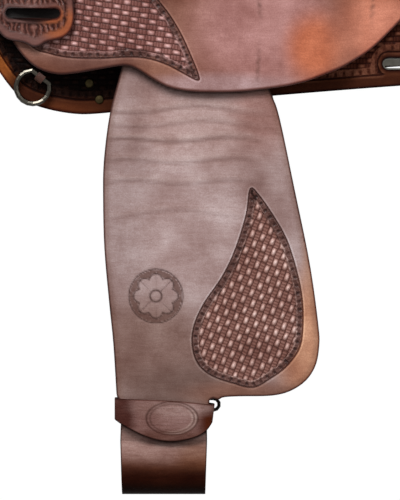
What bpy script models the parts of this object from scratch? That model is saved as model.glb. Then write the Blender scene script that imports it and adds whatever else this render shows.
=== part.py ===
# Western trail saddle: tree, leathers, lining, rigging and hanging fenders.
# Metres. +Z up, the horse faces -X, and the near (left) side is -Y.
# The origin is the top of the horse's back, or of a saddle rack, under the seat.

import bisect
import math

import bmesh
import bpy
import numpy as np
from mathutils import Vector
from mathutils.bvhtree import BVHTree
from mathutils.geometry import delaunay_2d_cdt

# The surface that the saddle lies on, as one quarter of a superellipse on each side
SPINE_HALF = 0.030
SKIRT_HALF_WIDTH = 0.212
REAR_FLARE = 0.014
FLARE_START = 0.090
FLARE_RUN = 0.220
DRAPE_DEPTH = 0.260
DRAPE_POWER = 2.4
RISE_FRONT = 0.035
RISE_REAR = 0.026
RISE_REACH = 0.300

# Thickness of each layer, and the clearance between one and the next
GAP = 0.0005
FLEECE = 0.012
SKIRT = 0.005
BAR = 0.022
BAR_EDGE = 0.007
GROUND = 0.004
STRAINER = 0.0018
SEAT = 0.005
PLY = 0.0036
FENDER = 0.004
KEEPER = 0.004
FENDER_CLEARANCE = 0.003
JOCKEY_CLEARANCE = 0.0012

D_SKIRT = FLEECE + GAP
D_SKIRT_TOP = D_SKIRT + SKIRT
D_BAR = D_SKIRT_TOP + GAP
D_BAR_TOP = D_BAR + BAR
D_GROUND_TOP = D_BAR_TOP + GAP + GROUND
D_SEAT = D_GROUND_TOP + GAP
D_SEAT_TOP = D_SEAT + SEAT

# The hanging leathers are flat and stand one behind the other, outside the skirt
Y_BACK_PLY = SKIRT_HALF_WIDTH + D_SKIRT_TOP + FENDER_CLEARANCE
Y_FRONT_PLY = Y_BACK_PLY + PLY + GAP
Y_FENDER = Y_FRONT_PLY + PLY + GAP
Y_FENDER_TOP = Y_FENDER + FENDER
Y_JOCKEY = Y_FENDER_TOP + JOCKEY_CLEARANCE

# Skirt
SKIRT_FRONT = -0.340
SKIRT_REAR = 0.362
SKIRT_EDGE = [
    (-0.334, -0.095), (-0.324, -0.140), (-0.309, -0.172), (-0.286, -0.206), (-0.267, -0.220),
    (-0.234, -0.228), (-0.202, -0.2277), (-0.130, -0.219), (-0.053, -0.2123), (0.009, -0.2072),
    (0.063, -0.2031), (0.150, -0.197), (0.230, -0.187), (0.296, -0.168), (0.340, -0.132),
    (0.358, -0.090),
]

# Fender, hanging leather and their pivot
PIVOT_X = -0.1298
PIVOT_Z = -0.150
STRAP_WIDTH = 0.076
STRAP_X = -0.1497
FOLD_RADIUS = 0.015
FOLD_BOTTOM = -0.5706
STRAP_RADIUS = STRAP_WIDTH / 2
STRAP_COLUMNS = 11
SWING_CLEARANCE = 0.0009
PIVOT = (PIVOT_X, -Y_FENDER, PIVOT_Z)
HANGER_TOP_ANGLE = 29.0
FENDER_LEFT = [(-0.1800, -0.158), (-0.1877, -0.1887), (-0.1977, -0.2275), (-0.2032, -0.270),
               (-0.2039, -0.3051), (-0.2028, -0.3492), (-0.1985, -0.3983), (-0.1949, -0.4343),
               (-0.192, -0.4815)]
FENDER_RIGHT = [(-0.1002, -0.4851), (-0.0959, -0.4828), (-0.0815, -0.4819), (-0.0528, -0.4813),
                (-0.0356, -0.477), (-0.0212, -0.4671), (-0.0126, -0.4527), (-0.0097, -0.4343),
                (-0.0104, -0.4199), (-0.0148, -0.3852), (-0.0207, -0.3501), (-0.032, -0.2961),
                (-0.0456, -0.2318), (-0.0536, -0.2088), (-0.0720, -0.164), (-0.0980, -0.156)]
NECK_LEFT = -0.1895
NECK_RIGHT = -0.1085
NECK_END = -0.503
MOUTH_RISE = 0.0035
MOUTH_STEP = 0.002

# Hobble strap and its buckle
HOBBLE = 0.0028
HOBBLE_LEFT = -0.1938
HOBBLE_RIGHT = -0.1038
HOBBLE_TOP = -0.4870
HOBBLE_SIDE_BOTTOM = -0.5085
HOBBLE_MID_BOTTOM = -0.5225
WIRE = 0.0032
HOBBLE_BUCKLE = (0.030, 0.0105)
HOBBLE_BUCKLE_IN = 0.0109
HOBBLE_BUCKLE_DOWN = 0.0038

# Seat jockey: the lower edge, front to rear, and the seam with the seat
JOCKEY_EDGE = [
    (-0.300, -0.100), (-0.300, -0.130), (-0.2920, -0.152), (-0.2763, -0.1755), (-0.2628, -0.1872),
    (-0.2457, -0.1922), (-0.2282, -0.1911), (-0.2052, -0.1872), (-0.1845, -0.1842),
    (-0.1728, -0.1877), (-0.1593, -0.1962), (-0.1422, -0.2043), (-0.117, -0.2079),
    (-0.0825, -0.2075), (-0.0482, -0.2038), (-0.0252, -0.1992), (-0.0072, -0.1929),
    (0.0117, -0.1854), (0.0324, -0.1733), (0.0459, -0.1618), (0.063, -0.1446), (0.085, -0.121),
    (0.108, -0.095), (0.128, -0.068),
]
JOCKEY_FRONT = [(-0.262, 27.0), (-0.278, 22.0), (-0.280, 12.0), (-0.292, 9.0), (-0.303, 14.0),
                (-0.304, 40.0)]
FENDER_ZONE = (-0.225, -0.010)
ZONE_BLEND = 0.045
JOCKEY_BULGE = 0.016
BULGE_START = 40.0
BULGE_FULL = 59.0
SEAM_FRONT = 19.0
SEAM_REAR = 27.0
SEAM_FORK = 31.0
SEAM_GAP = 0.7

# Tree
BAR_FRONT = -0.300
BAR_REAR = 0.300
BAR_TOP_ANGLE = 4.0
BAR_BOTTOM_ANGLE = 47.0
FORK_FRONT = -0.266
FORK_REAR = -0.180
FORK_INNER = [(0.082, 0.062), (0.077, 0.085), (0.058, 0.108), (0.030, 0.121), (0.0, 0.125)]
FORK_OUTER = [(0.128, 0.047), (0.148, 0.074), (0.154, 0.105), (0.136, 0.141), (0.070, 0.168), (0.0, 0.176)]
FORK_STEPS = 7
FORK_LIFT = 0.0032
COVER = 0.003
HORN_X = -0.228
HORN_LEAN = 12.0
HORN_NECK = 0.011
HORN_WRAP = 0.005
HORN_HEIGHT = 0.052
HORN_CAP = 0.040
CAP_CORE = 0.006
CAP_COVER = 0.003

# Seat and cantle
SEAT_ROWS = [(-0.166, 0.092), (-0.130, 0.075), (-0.070, 0.062), (0.0, 0.058), (0.060, 0.062), (0.110, 0.071)]
SEAT_CROWN = 2.2
CANTLE_BASE = (0.168, 0.040, 0.118, 0.030, 0.092)
CANTLE_RIM = (0.170, 0.070, 0.160, 0.052, 0.195)
CANTLE_LEVELS = (0.0, 0.30, 0.65, 1.0)
CANTLE_BOARD = 0.015
CANTLE_BACK = 0.004
BINDING_WIDE = 0.013
BINDING_HIGH = 0.006
BINDING_LIFT = 0.004
PAD_CROWN = 0.009
PAD_EDGE = 0.002

# Rear jockey
REAR_EDGE = [(0.150, -0.048), (0.168, -0.082), (0.205, -0.104), (0.250, -0.104), (0.290, -0.082),
             (0.316, -0.046)]
REAR_TOP = [(0.328, 10.0), (0.322, 3.0), (0.166, 3.0), (0.166, 10.0), (0.169, 18.0), (0.173, 26.0),
            (0.160, 30.0), (0.150, 34.0)]

# Rigging: plates let into the skirts, each with a slot for a strap
PLATE = 0.0025
PLATE_LENGTH = 0.092
PLATE_HEIGHT = 0.036
PLATE_SPOTS = {"front_rigging_plate": (-0.142, -0.190), "rear_rigging_plate": (0.077, -0.1835)}
SLOT_LENGTH = 0.060
SLOT_HEIGHT = 0.0105
RIM = 0.0011

# Latigo keeper
KEEPER_X = -0.2685
KEEPER_Z = -0.1200
KEEPER_STAND_OFF = 0.003
KEEPER_SEAT = 0.0010
KEEPER_BOW_START = 60.0
KEEPER_BOW_RUN = 7.0
KEEPER_OUTLINE = [
    (0.0386, -0.0052), (0.0390, -0.0210), (0.0363, -0.0315), (0.0297, -0.0385), (0.0192, -0.0418),
    (0.0133, -0.0435), (0.0073, -0.0472), (0.0012, -0.0477), (-0.0061, -0.0442), (-0.0210, -0.0410),
    (-0.0285, -0.0347), (-0.0357, -0.0240), (-0.0393, -0.0100), (-0.0393, 0.0090), (-0.0330, 0.0280),
    (-0.0195, 0.0415), (0.0030, 0.0475), (0.0210, 0.0415), (0.0345, 0.0270), (0.0382, 0.0100),
]
KEEPER_SLOT = (0.0017, -0.0176, 0.0493, 0.0089)
SCREW_UP = 0.030
SCREW_RADIUS = 0.0075

# Breast collar dee
DEE_X = -0.2686
DEE_Z = -0.2033
DEE_WIRE = 0.0046
DEE_RADIUS = 0.015
DEE_REACH = 0.0112
DEE_BAR = 0.0245
DEE_SHIFT = 0.002
DEE_TILT = 35.5

# Buckle behind the fender
BUCKLE_Z = -0.350
BUCKLE_HEIGHT = 0.040
BUCKLE = 0.0016
SLEEVE = 0.0014
SLEEVE_HEIGHT = 0.030
SLEEVE_CLEARANCE = 0.0006

CONCHO_RADIUS = 0.014
CONCHO_HEIGHT = 0.0035
CONCHO_SPOTS = [(0.190, -0.070), (0.278, -0.060)]
LACING_X = 0.330
LACING_HALF = 0.052
LACING_WIDTH = 0.010
LACING = 0.002
RIVET_RADIUS = 0.0042
RIVET_HEIGHT = 0.0016
RIVET_SPOTS = [(-0.2165, -0.2010), (-0.2075, -0.2155)]
TAB = 0.0022
TAB_WIDTH = 0.0075
CHAPE_REACH = 0.003
CHAPE_LIFT = 0.0003

X_STATIONS = [-0.345, -0.30, -0.262, -0.225, -0.16, -0.10, -0.035, 0.03, 0.095, 0.155, 0.22, 0.29, 0.365]
T_STATIONS = [2.0, 10.0, 20.0, 30.0, 40.0, 50.0, 59.0, 67.0, 75.0, 82.0, 90.0]
DEGREE = 0.0042
SIDES = {"left": 1.0, "right": -1.0}

LEATHER = ("leather", (0.30, 0.13, 0.085, 1.0), 0.55, 0.0)
DARK_LEATHER = ("dark_leather", (0.13, 0.05, 0.032, 1.0), 0.5, 0.0)
WOOL = ("wool_fleece", (0.80, 0.74, 0.62, 1.0), 0.95, 0.0)
WOOD = ("tree_wood", (0.55, 0.40, 0.24, 1.0), 0.7, 0.0)
STEEL = ("stainless_steel", (0.62, 0.60, 0.56, 1.0), 0.35, 1.0)
BRASS = ("brass", (0.52, 0.36, 0.16, 1.0), 0.4, 1.0)
BLACK_STEEL = ("black_steel", (0.02, 0.02, 0.02, 1.0), 0.4, 1.0)
SUEDE = ("suede", (0.20, 0.10, 0.07, 1.0), 0.95, 0.0)


def clear_scene():
    for obj in list(bpy.data.objects):
        bpy.data.objects.remove(obj, do_unlink=True)


def material(finish):
    name, colour, roughness, metallic = finish
    found = bpy.data.materials.get(name)
    if found:
        return found
    made = bpy.data.materials.new(name)
    made.use_nodes = True
    shader = made.node_tree.nodes["Principled BSDF"]
    shader.inputs["Base Color"].default_value = colour
    shader.inputs["Roughness"].default_value = roughness
    shader.inputs["Metallic"].default_value = metallic
    made.diffuse_color = colour
    return made


def add_mesh(name, points, faces, finish, side=1.0, origin=(0.0, 0.0, 0.0)):
    # The off side is the near side with y turned over; a moving piece's origin is on its joint.
    ox, oy, oz = origin
    placed = [(p[0] - ox, (p[1] - oy) * side, p[2] - oz) for p in points]
    mesh = bpy.data.meshes.new(name)
    mesh.from_pydata(placed, [], faces)
    work = bmesh.new()
    work.from_mesh(mesh)
    bmesh.ops.recalc_face_normals(work, faces=work.faces)
    bmesh.ops.triangulate(work, faces=work.faces)
    work.to_mesh(mesh)
    work.free()
    mesh.materials.append(material(finish))
    mesh.shade_smooth()
    mesh.set_sharp_from_angle(angle=math.radians(35))
    obj = bpy.data.objects.new(name, mesh)
    obj.location = (ox, oy * side, oz)
    bpy.context.scene.collection.objects.link(obj)
    return obj


def smooth_step(value):
    u = min(max(value, 0.0), 1.0)
    return u * u * (3.0 - 2.0 * u)


def window(value, low, high, blend):
    return smooth_step((value - low) / blend + 1.0) * smooth_step((high - value) / blend + 1.0)


def curve_through(points, steps):
    # An open Catmull-Rom curve through the points, with this many spans between each two.
    p = [np.array(q, float) for q in points]
    p = [2 * p[0] - p[1]] + p + [2 * p[-1] - p[-2]]
    made = []
    for i in range(1, len(p) - 2):
        for k in range(steps):
            u = k / steps
            made.append(0.5 * (2 * p[i] + (p[i + 1] - p[i - 1]) * u
                               + (2 * p[i - 1] - 5 * p[i] + 4 * p[i + 1] - p[i + 2]) * u ** 2
                               + (3 * p[i] - p[i - 1] - 3 * p[i + 1] + p[i + 2]) * u ** 3))
    made.append(p[-2])
    return [tuple(q) for q in made]


def rounded_slot(x, z, length, height, steps=5, tilt=0.0):
    radius = height / 2
    run = length / 2 - radius
    made = []
    for centre, start in ((run, -90.0), (-run, 90.0)):
        for k in range(steps + 1):
            angle = math.radians(start + 180.0 * k / steps)
            made.append((centre + radius * math.cos(angle), radius * math.sin(angle)))
    c, s = math.cos(math.radians(tilt)), math.sin(math.radians(tilt))
    return [(x + u * c - v * s, z + u * s + v * c) for u, v in made]


# The drape, as points at a distance along its normals

def ridge(x):
    rise = RISE_FRONT if x < 0 else RISE_REAR
    return rise * (x / RISE_REACH) ** 2


def half_width(x):
    return SKIRT_HALF_WIDTH + REAR_FLARE * smooth_step((x - FLARE_START) / FLARE_RUN)


def station_point(x, t, d):
    across = half_width(x) - SPINE_HALF
    up = DRAPE_DEPTH + ridge(x)
    sine = math.sin(math.radians(t)) ** (2 / DRAPE_POWER)
    cosine = max(math.cos(math.radians(t)), 0.0) ** (2 / DRAPE_POWER)
    normal = np.array([sine ** (DRAPE_POWER - 1) / across, cosine ** (DRAPE_POWER - 1) / up])
    normal /= np.linalg.norm(normal)
    return np.array([x, -(SPINE_HALF + across * sine + d * normal[0]),
                     -DRAPE_DEPTH + up * cosine + d * normal[1]])


def span_of(stations, value):
    i = min(max(bisect.bisect_right(stations, value) - 1, 0), len(stations) - 2)
    return i, (value - stations[i]) / (stations[i + 1] - stations[i])


def drape(x, t, d):
    # Straight between stations, so that every layer keeps the same facets as the next.
    i, u = span_of(X_STATIONS, x)
    j, v = span_of(T_STATIONS, t)
    corner = [[station_point(X_STATIONS[i + a], T_STATIONS[j + b], d) for b in (0, 1)] for a in (0, 1)]
    front = corner[0][0] * (1 - v) + corner[0][1] * v
    rear = corner[1][0] * (1 - v) + corner[1][1] * v
    return front * (1 - u) + rear * u


def angle_at(x, z, d):
    low, high = T_STATIONS[0], T_STATIONS[-1]
    for _ in range(40):
        middle = (low + high) / 2
        if drape(x, middle, d)[2] > z:
            low = middle
        else:
            high = middle
    return (low + high) / 2


def reach_plane(x, t, y):
    # The distance along the normal at which the drape's layer stands at this half width.
    near, far = drape(x, t, 0.0), drape(x, t, 0.05)
    return 0.05 * (y + near[1]) / (near[1] - far[1])


def distance(height, x, t):
    return height(x, t) if callable(height) else height


def surface(x, t, height):
    return drape(x, t, distance(height, x, t))


def layer_angle(x, z, height):
    # The angle at which a layer of changing height stands at this level.
    return angle_at(x, z, distance(height, x, angle_at(x, z, D_SEAT)))


def on_layer(points, height):
    # The pattern of an outline that is drawn as seen from the side.
    return [(x, layer_angle(x, z, height)) for x, z in points]


def frame_at(x, z, d):
    # A flat frame on the layer: its centre, the fore-and-aft and upward directions, and out.
    t = layer_angle(x, z, d)
    centre = surface(x, t, d)
    along = surface(x + 0.02, t, d) - surface(x - 0.02, t, d)
    up = surface(x, t - 4.0, d) - surface(x, t + 4.0, d)
    along /= np.linalg.norm(along)
    out = np.cross(along, up)
    out /= np.linalg.norm(out)
    return centre, along, np.cross(out, along), out


def tree_of(name):
    work = bmesh.new()
    work.from_mesh(bpy.data.objects[name].data)
    found = BVHTree.FromBMesh(work)
    work.free()
    return found


def crown_under(frame, reach, name):
    # How far the named piece rises above the flat frame within this reach of its centre.
    centre, right, up, out = frame
    carrier = tree_of(name)
    steps = np.linspace(-reach, reach, 21)
    heights = []
    for u, v in [(u, v) for u in steps for v in steps if math.hypot(u, v) <= reach * 1.001]:
        start = centre + right * u + up * v + out * reach
        found = carrier.ray_cast(Vector(start), Vector(-out), 2 * reach)[3]
        if found is not None:
            heights.append(reach - found)
    return max(heights)


# Sheets cut from an outline

def inside(point, loop):
    x, y = point
    hit = False
    for (ax, ay), (bx, by) in zip(loop, loop[1:] + loop[:1]):
        if (ay > y) != (by > y) and x < (bx - ax) * (y - ay) / (by - ay) + ax:
            hit = not hit
    return hit


def cut_outline(outline, holes, x_lines=(), y_lines=()):
    # Triangles inside the outline and outside its holes, split along the given lines.
    points, edges = [], []
    for loop in [outline] + holes:
        start = len(points)
        points += [tuple(p) for p in loop]
        edges += [(start + i, start + (i + 1) % len(loop)) for i in range(len(loop))]
    low, high = np.min(outline, axis=0) - 0.01, np.max(outline, axis=0) + 0.01
    for x in x_lines:
        if low[0] < x < high[0]:
            points += [(x, low[1]), (x, high[1])]
            edges.append((len(points) - 2, len(points) - 1))
    for y in y_lines:
        if low[1] < y < high[1]:
            points += [(low[0], y), (high[0], y)]
            edges.append((len(points) - 2, len(points) - 1))
    made, _, faces = delaunay_2d_cdt([tuple(p) for p in points], edges, [], 0, 1e-6)[:3]
    kept = []
    for face in faces:
        centre = sum((made[i] for i in face), start=made[face[0]] * 0) / len(face)
        if inside(centre, outline) and not any(inside(centre, hole) for hole in holes):
            kept.append(tuple(face))
    return [(p[0], p[1]) for p in made], kept


def thicken(flat, faces, place_in, place_out):
    # A closed solid between two placings of the same cut outline.
    used = sorted({i for face in faces for i in face})
    index = {old: new for new, old in enumerate(used)}
    count = len(used)
    points = [place_in(*flat[i]) for i in used] + [place_out(*flat[i]) for i in used]
    solid, open_edges = [], set()
    for face in faces:
        ring = [index[i] for i in face]
        solid += [tuple(ring), tuple(i + count for i in reversed(ring))]
        for a, b in zip(ring, ring[1:] + ring[:1]):
            if (b, a) in open_edges:
                open_edges.remove((b, a))
            else:
                open_edges.add((a, b))
    solid += [(b, a, a + count, b + count) for a, b in sorted(open_edges)]
    return points, solid


def drape_sheet(pattern, holes, low, high):
    # pattern and holes are in fore-and-aft metres and degrees down the drape.
    def scaled(loop):
        return [(x, t * DEGREE) for x, t in loop]

    flat, faces = cut_outline(scaled(pattern), [scaled(h) for h in holes], X_STATIONS,
                              [t * DEGREE for t in T_STATIONS])
    return thicken(flat, faces,
                   lambda x, s: surface(x, s / DEGREE, low),
                   lambda x, s: surface(x, s / DEGREE, high))


def flat_plate(outline, holes, frame, low, high):
    # A flat sheet in a frame: centre, right, up and out directions.
    centre, right, up, out = frame
    flat, faces = cut_outline(outline, holes)
    return thicken(flat, faces,
                   lambda u, v: centre + right * u + up * v + out * low,
                   lambda u, v: centre + right * u + up * v + out * high)


# Grids, turned pieces and wires

def grid_normals(grid, toward):
    along = np.gradient(grid, axis=0)
    across = np.gradient(grid, axis=1)
    normals = np.cross(along, across)
    normals /= np.linalg.norm(normals, axis=2, keepdims=True)
    return normals if np.sum(normals * (toward - grid)) > 0 else -normals


def thick_grid(grid, normals, low, high):
    # A closed sheet over the grid, from one distance to another along its normals.
    rows, columns = grid.shape[:2]
    low = np.broadcast_to(np.asarray(low, float), (rows, columns))[..., None]
    high = np.broadcast_to(np.asarray(high, float), (rows, columns))[..., None]
    flat = [(i, j) for i in range(rows) for j in range(columns)]
    place_low = {ij: (grid + normals * low)[ij] for ij in flat}
    place_high = {ij: (grid + normals * high)[ij] for ij in flat}
    faces = [(i * columns + j, i * columns + j + 1, (i + 1) * columns + j + 1, (i + 1) * columns + j)
             for i in range(rows - 1) for j in range(columns - 1)]
    return thicken(flat, faces, lambda i, j: place_low[(i, j)], lambda i, j: place_high[(i, j)])


def turned(profile, steps, frame):
    # A closed profile of (radius, height) points turned about a frame's out direction.
    centre, right, up, out = frame
    points, rings = [], []
    for radius, height in profile:
        if radius < 1e-6:
            rings.append([len(points)] * steps)
            points.append(centre + out * height)
            continue
        rings.append(list(range(len(points), len(points) + steps)))
        for k in range(steps):
            angle = 2 * math.pi * k / steps
            points.append(centre + out * height
                          + (right * math.cos(angle) + up * math.sin(angle)) * radius)
    faces = []
    for a, b in zip(rings, rings[1:] + rings[:1]):
        for k in range(steps):
            face = [a[k], a[(k + 1) % steps], b[(k + 1) % steps], b[k]]
            face = [v for i, v in enumerate(face) if v != face[i - 1]]
            if len(face) > 2:
                faces.append(tuple(face))
    return points, faces


def wire_ring(path, radius, out, sides=8):
    # A closed round wire along a flat closed path that lies square to the out direction.
    points = []
    count = len(path)
    for i, p in enumerate(path):
        ahead = path[(i + 1) % count] - path[i - 1]
        ahead /= np.linalg.norm(ahead)
        sideways = np.cross(out, ahead)
        for k in range(sides):
            angle = 2 * math.pi * k / sides
            points.append(p + (sideways * math.cos(angle) + out * math.sin(angle)) * radius)
    faces = [(i * sides + k, i * sides + (k + 1) % sides,
              (i + 1) % count * sides + (k + 1) % sides, (i + 1) % count * sides + k)
             for i in range(count) for k in range(sides)]
    return points, faces


def loft(rings):
    # A closed solid through rings of equal count, with flat ends.
    count = len(rings[0])
    points = [p for ring in rings for p in ring]
    faces = [(r * count + k, r * count + (k + 1) % count,
              (r + 1) * count + (k + 1) % count, (r + 1) * count + k)
             for r in range(len(rings) - 1) for k in range(count)]
    last = (len(rings) - 1) * count
    faces += [tuple(range(count)), tuple(range(last, last + count))]
    return points, faces


# Layer heights that change from place to place

def bar_lift(x, t):
    lift = BAR_EDGE + (BAR - BAR_EDGE) * window(x, BAR_FRONT + 0.06, BAR_REAR - 0.06, 0.05) \
        * window(t, BAR_TOP_ANGLE + 4.0, BAR_BOTTOM_ANGLE - 12.0, 10.0)
    return D_BAR + lift


def over_tree(x, t):
    # The underside of what lies on the tree: high over the bars, and down on the skirt below them.
    covered = window(x, BAR_FRONT, BAR_REAR, 0.03) * window(t, 0.0, BAR_BOTTOM_ANGLE + 4.0, 16.0)
    return D_SKIRT_TOP + GAP + (D_SEAT - D_SKIRT_TOP - GAP) * covered


def under_jockey(x, t):
    # Upright over the fender's top, and from there inward to lie on the bars.
    bulge = JOCKEY_BULGE * smooth_step((t - BULGE_START) / (BULGE_FULL - BULGE_START))
    hanging = min(reach_plane(x, t, Y_JOCKEY), D_SEAT + bulge)
    low = over_tree(x, t)
    return low + max(hanging - low, 0.0) * window(x, *FENDER_ZONE, ZONE_BLEND)


def seam_angle(x):
    angle = SEAM_FRONT + (SEAM_REAR - SEAM_FRONT) * smooth_step((x + 0.05) / 0.16)
    return angle + (SEAM_FORK - SEAM_FRONT) * smooth_step((-0.150 - x) / 0.020)


def jockey_top(x, t):
    return under_jockey(x, t) + SEAT


def rear_top(x, t):
    return over_tree(x, t) + SEAT


def keeper_top(x, t):
    # Screwed down at its top, and bowed off the jockey round its slot.
    bow = smooth_step((t - KEEPER_BOW_START) / KEEPER_BOW_RUN)
    return jockey_top(x, t) + KEEPER_SEAT + (KEEPER_STAND_OFF - KEEPER_SEAT) * bow + KEEPER


# Pieces

def skirt_pattern(inset=0.0):
    edge = curve_through([(SKIRT_FRONT, -0.030)] + SKIRT_EDGE + [(SKIRT_REAR, -0.030)], 2)
    middle = 0.5 * (SKIRT_FRONT + SKIRT_REAR)
    half = 0.5 * (SKIRT_REAR - SKIRT_FRONT)
    squeezed = [(middle + (x - middle) * (1 - inset / half), z + inset * min(1.0, -z / 0.1))
                for x, z in edge]
    pattern = on_layer(squeezed, D_SKIRT_TOP)
    ends = [(SKIRT_REAR - 0.010 - inset, 6.0), (SKIRT_REAR - 0.026 - inset, T_STATIONS[0])]
    starts = [(SKIRT_FRONT + 0.024 + inset, T_STATIONS[0]), (SKIRT_FRONT + 0.008 + inset, 6.0)]
    return pattern + ends + starts


def rigging_slot(spot, grow, d):
    x, z = spot
    return on_layer(rounded_slot(x, z, SLOT_LENGTH + grow, SLOT_HEIGHT + grow), d)


def plate_outline(spot, grow, d):
    x, z = spot
    return on_layer(rounded_slot(x, z, PLATE_LENGTH + grow, PLATE_HEIGHT + grow, 4), d)


def make_skirts(side, sign):
    slots = [rigging_slot(spot, 0.0, D_SKIRT_TOP) for spot in PLATE_SPOTS.values()]
    add_mesh("skirt_" + side, *drape_sheet(skirt_pattern(), slots, D_SKIRT, D_SKIRT_TOP), LEATHER, sign)
    windows = [plate_outline(spot, 0.003, FLEECE) for spot in PLATE_SPOTS.values()]
    add_mesh("fleece_" + side, *drape_sheet(skirt_pattern(0.004), windows, 0.0, FLEECE), WOOL, sign)
    for name, spot in PLATE_SPOTS.items():
        plate = drape_sheet(plate_outline(spot, 0.0, FLEECE), [rigging_slot(spot, -2 * RIM, FLEECE)],
                            FLEECE - PLATE, FLEECE)
        add_mesh(name + "_" + side, *plate, STEEL, sign)


def make_bars(side, sign):
    front = [(BAR_FRONT + 0.012, BAR_TOP_ANGLE), (BAR_FRONT, 14.0), (BAR_FRONT, 34.0),
             (BAR_FRONT + 0.018, 45.0)]
    rear = [(BAR_REAR - 0.018, 45.0), (BAR_REAR, 34.0), (BAR_REAR, 14.0),
            (BAR_REAR - 0.012, BAR_TOP_ANGLE)]
    waist = [(-0.16, BAR_BOTTOM_ANGLE), (-0.05, BAR_BOTTOM_ANGLE - 4.0), (0.05, BAR_BOTTOM_ANGLE - 4.0),
             (0.16, BAR_BOTTOM_ANGLE)]
    bar = drape_sheet(front + waist + rear, [], D_BAR, bar_lift)
    add_mesh("tree_bar_" + side, *bar, WOOD, sign)


def make_jockeys(side, sign):
    pattern = on_layer(curve_through(JOCKEY_EDGE, 2), jockey_top)
    rear_x = JOCKEY_EDGE[-1][0]
    seam = [rear_x] + [x for x, _ in SEAT_ROWS[:0:-1]] + [-0.149, -0.156, -0.163, -0.170, -0.22]
    top = [(rear_x + 0.004, 37.0)] + [(x, seam_angle(x) + SEAM_GAP) for x in seam]
    top += JOCKEY_FRONT
    sheet = drape_sheet(pattern + top, [], under_jockey, jockey_top)
    add_mesh("seat_jockey_" + side, *sheet, LEATHER, sign)


def make_rear_jockeys(side, sign):
    pattern = on_layer(curve_through(REAR_EDGE, 3), rear_top)
    sheet = drape_sheet(pattern + REAR_TOP, [], over_tree, rear_top)
    add_mesh("rear_jockey_" + side, *sheet, LEATHER, sign)


def make_keeper(side, sign):
    # A slotted leather that stands off the jockey, so that a strap's end fits behind it.
    outline = on_layer([(KEEPER_X + u, KEEPER_Z + v) for u, v in KEEPER_OUTLINE], keeper_top)
    u, v, length, height = KEEPER_SLOT
    slot = on_layer(rounded_slot(KEEPER_X + u, KEEPER_Z + v, length, height), keeper_top)
    plate = drape_sheet(outline, [slot], lambda x, t: keeper_top(x, t) - KEEPER, keeper_top)
    add_mesh("latigo_keeper_" + side, *plate, LEATHER, sign)
    spot = frame_at(KEEPER_X, KEEPER_Z + SCREW_UP, keeper_top)
    low = crown_under(spot, SCREW_RADIUS, "latigo_keeper_left") + GAP
    head = turned([(0, low), (SCREW_RADIUS, low), (SCREW_RADIUS * 0.9, low + 0.0015),
                   (SCREW_RADIUS * 0.5, low + 0.003), (0, low + 0.0034)], 16, spot)
    add_mesh("keeper_screw_" + side, *head, STEEL, sign)


def make_dee(side, sign):
    centre, right, up, out = frame_at(DEE_X, DEE_Z, D_SKIRT_TOP)
    tilt = math.radians(-DEE_TILT)
    along = right * math.cos(tilt) + up * math.sin(tilt)
    away = right * math.sin(tilt) - up * math.cos(tilt)
    middle = centre + out * (CHAPE_LIFT + TAB + GAP + DEE_WIRE / 2) - away * DEE_REACH + along * DEE_SHIFT
    path = [middle + along * (DEE_BAR / 2) * k for k in (-0.8, 0.0, 0.8)]
    for k in range(13):
        angle = math.radians(24.0 - 228.0 * k / 12)
        path.append(middle + away * DEE_REACH + along * DEE_RADIUS * math.cos(angle)
                    - away * DEE_RADIUS * math.sin(angle))
    add_mesh("breast_dee_" + side, *wire_ring(path, DEE_WIRE / 2, out), STEEL, sign, middle)
    return middle, along, away, out


def make_dee_tab(side, sign, middle, along, away, out):
    # A leather chape that folds round the straight bar of the dee and runs up under the jockey.
    radius = DEE_WIRE / 2 + GAP
    path = []
    for k in range(9):
        angle = math.radians(180.0 * k / 8)
        path.append((math.sin(angle) * (radius + TAB / 2), math.cos(angle) * (radius + TAB / 2)))
    section = [(-CHAPE_REACH, radius + TAB / 2)] + path + [(-CHAPE_REACH, -radius - TAB / 2)]
    rows = []
    for u, v in section:
        rows.append([middle + away * u + out * v + along * w for w in (-TAB_WIDTH / 2, TAB_WIDTH / 2)])
    grid = np.array(rows)
    normals = grid_normals(grid, np.array(middle + out * 0.5))
    add_mesh("dee_chape_" + side, *thick_grid(grid, normals, -TAB / 2, TAB / 2), DARK_LEATHER, sign)


def make_rivets(side, sign):
    for count, (x, z) in enumerate(RIVET_SPOTS, 1):
        spot = frame_at(x, z, D_SKIRT_TOP)
        low = crown_under(spot, RIVET_RADIUS, "skirt_left") + GAP
        head = turned([(0, low), (RIVET_RADIUS, low), (RIVET_RADIUS * 0.8, low + RIVET_HEIGHT * 0.7),
                       (0, low + RIVET_HEIGHT)], 12, spot)
        add_mesh(f"skirt_rivet_{side}_{count}", *head, BRASS, sign)


def make_conchos(side, sign):
    for count, (x, z) in enumerate(CONCHO_SPOTS, 1):
        spot = frame_at(x, z, rear_top)
        low = crown_under(spot, CONCHO_RADIUS, "rear_jockey_left") + GAP
        disc = turned([(0, low), (CONCHO_RADIUS, low), (CONCHO_RADIUS * 0.93, low + CONCHO_HEIGHT * 0.45),
                       (CONCHO_RADIUS * 0.4, low + CONCHO_HEIGHT), (0, low + CONCHO_HEIGHT)], 20, spot)
        add_mesh(f"concho_{side}_{count}", *disc, STEEL, sign)


def strap_centre(z):
    u = (PIVOT_Z - z) / (PIVOT_Z - FOLD_BOTTOM)
    return PIVOT_X + (STRAP_X - PIVOT_X) * min(max(u, 0.0), 1.0)


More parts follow.
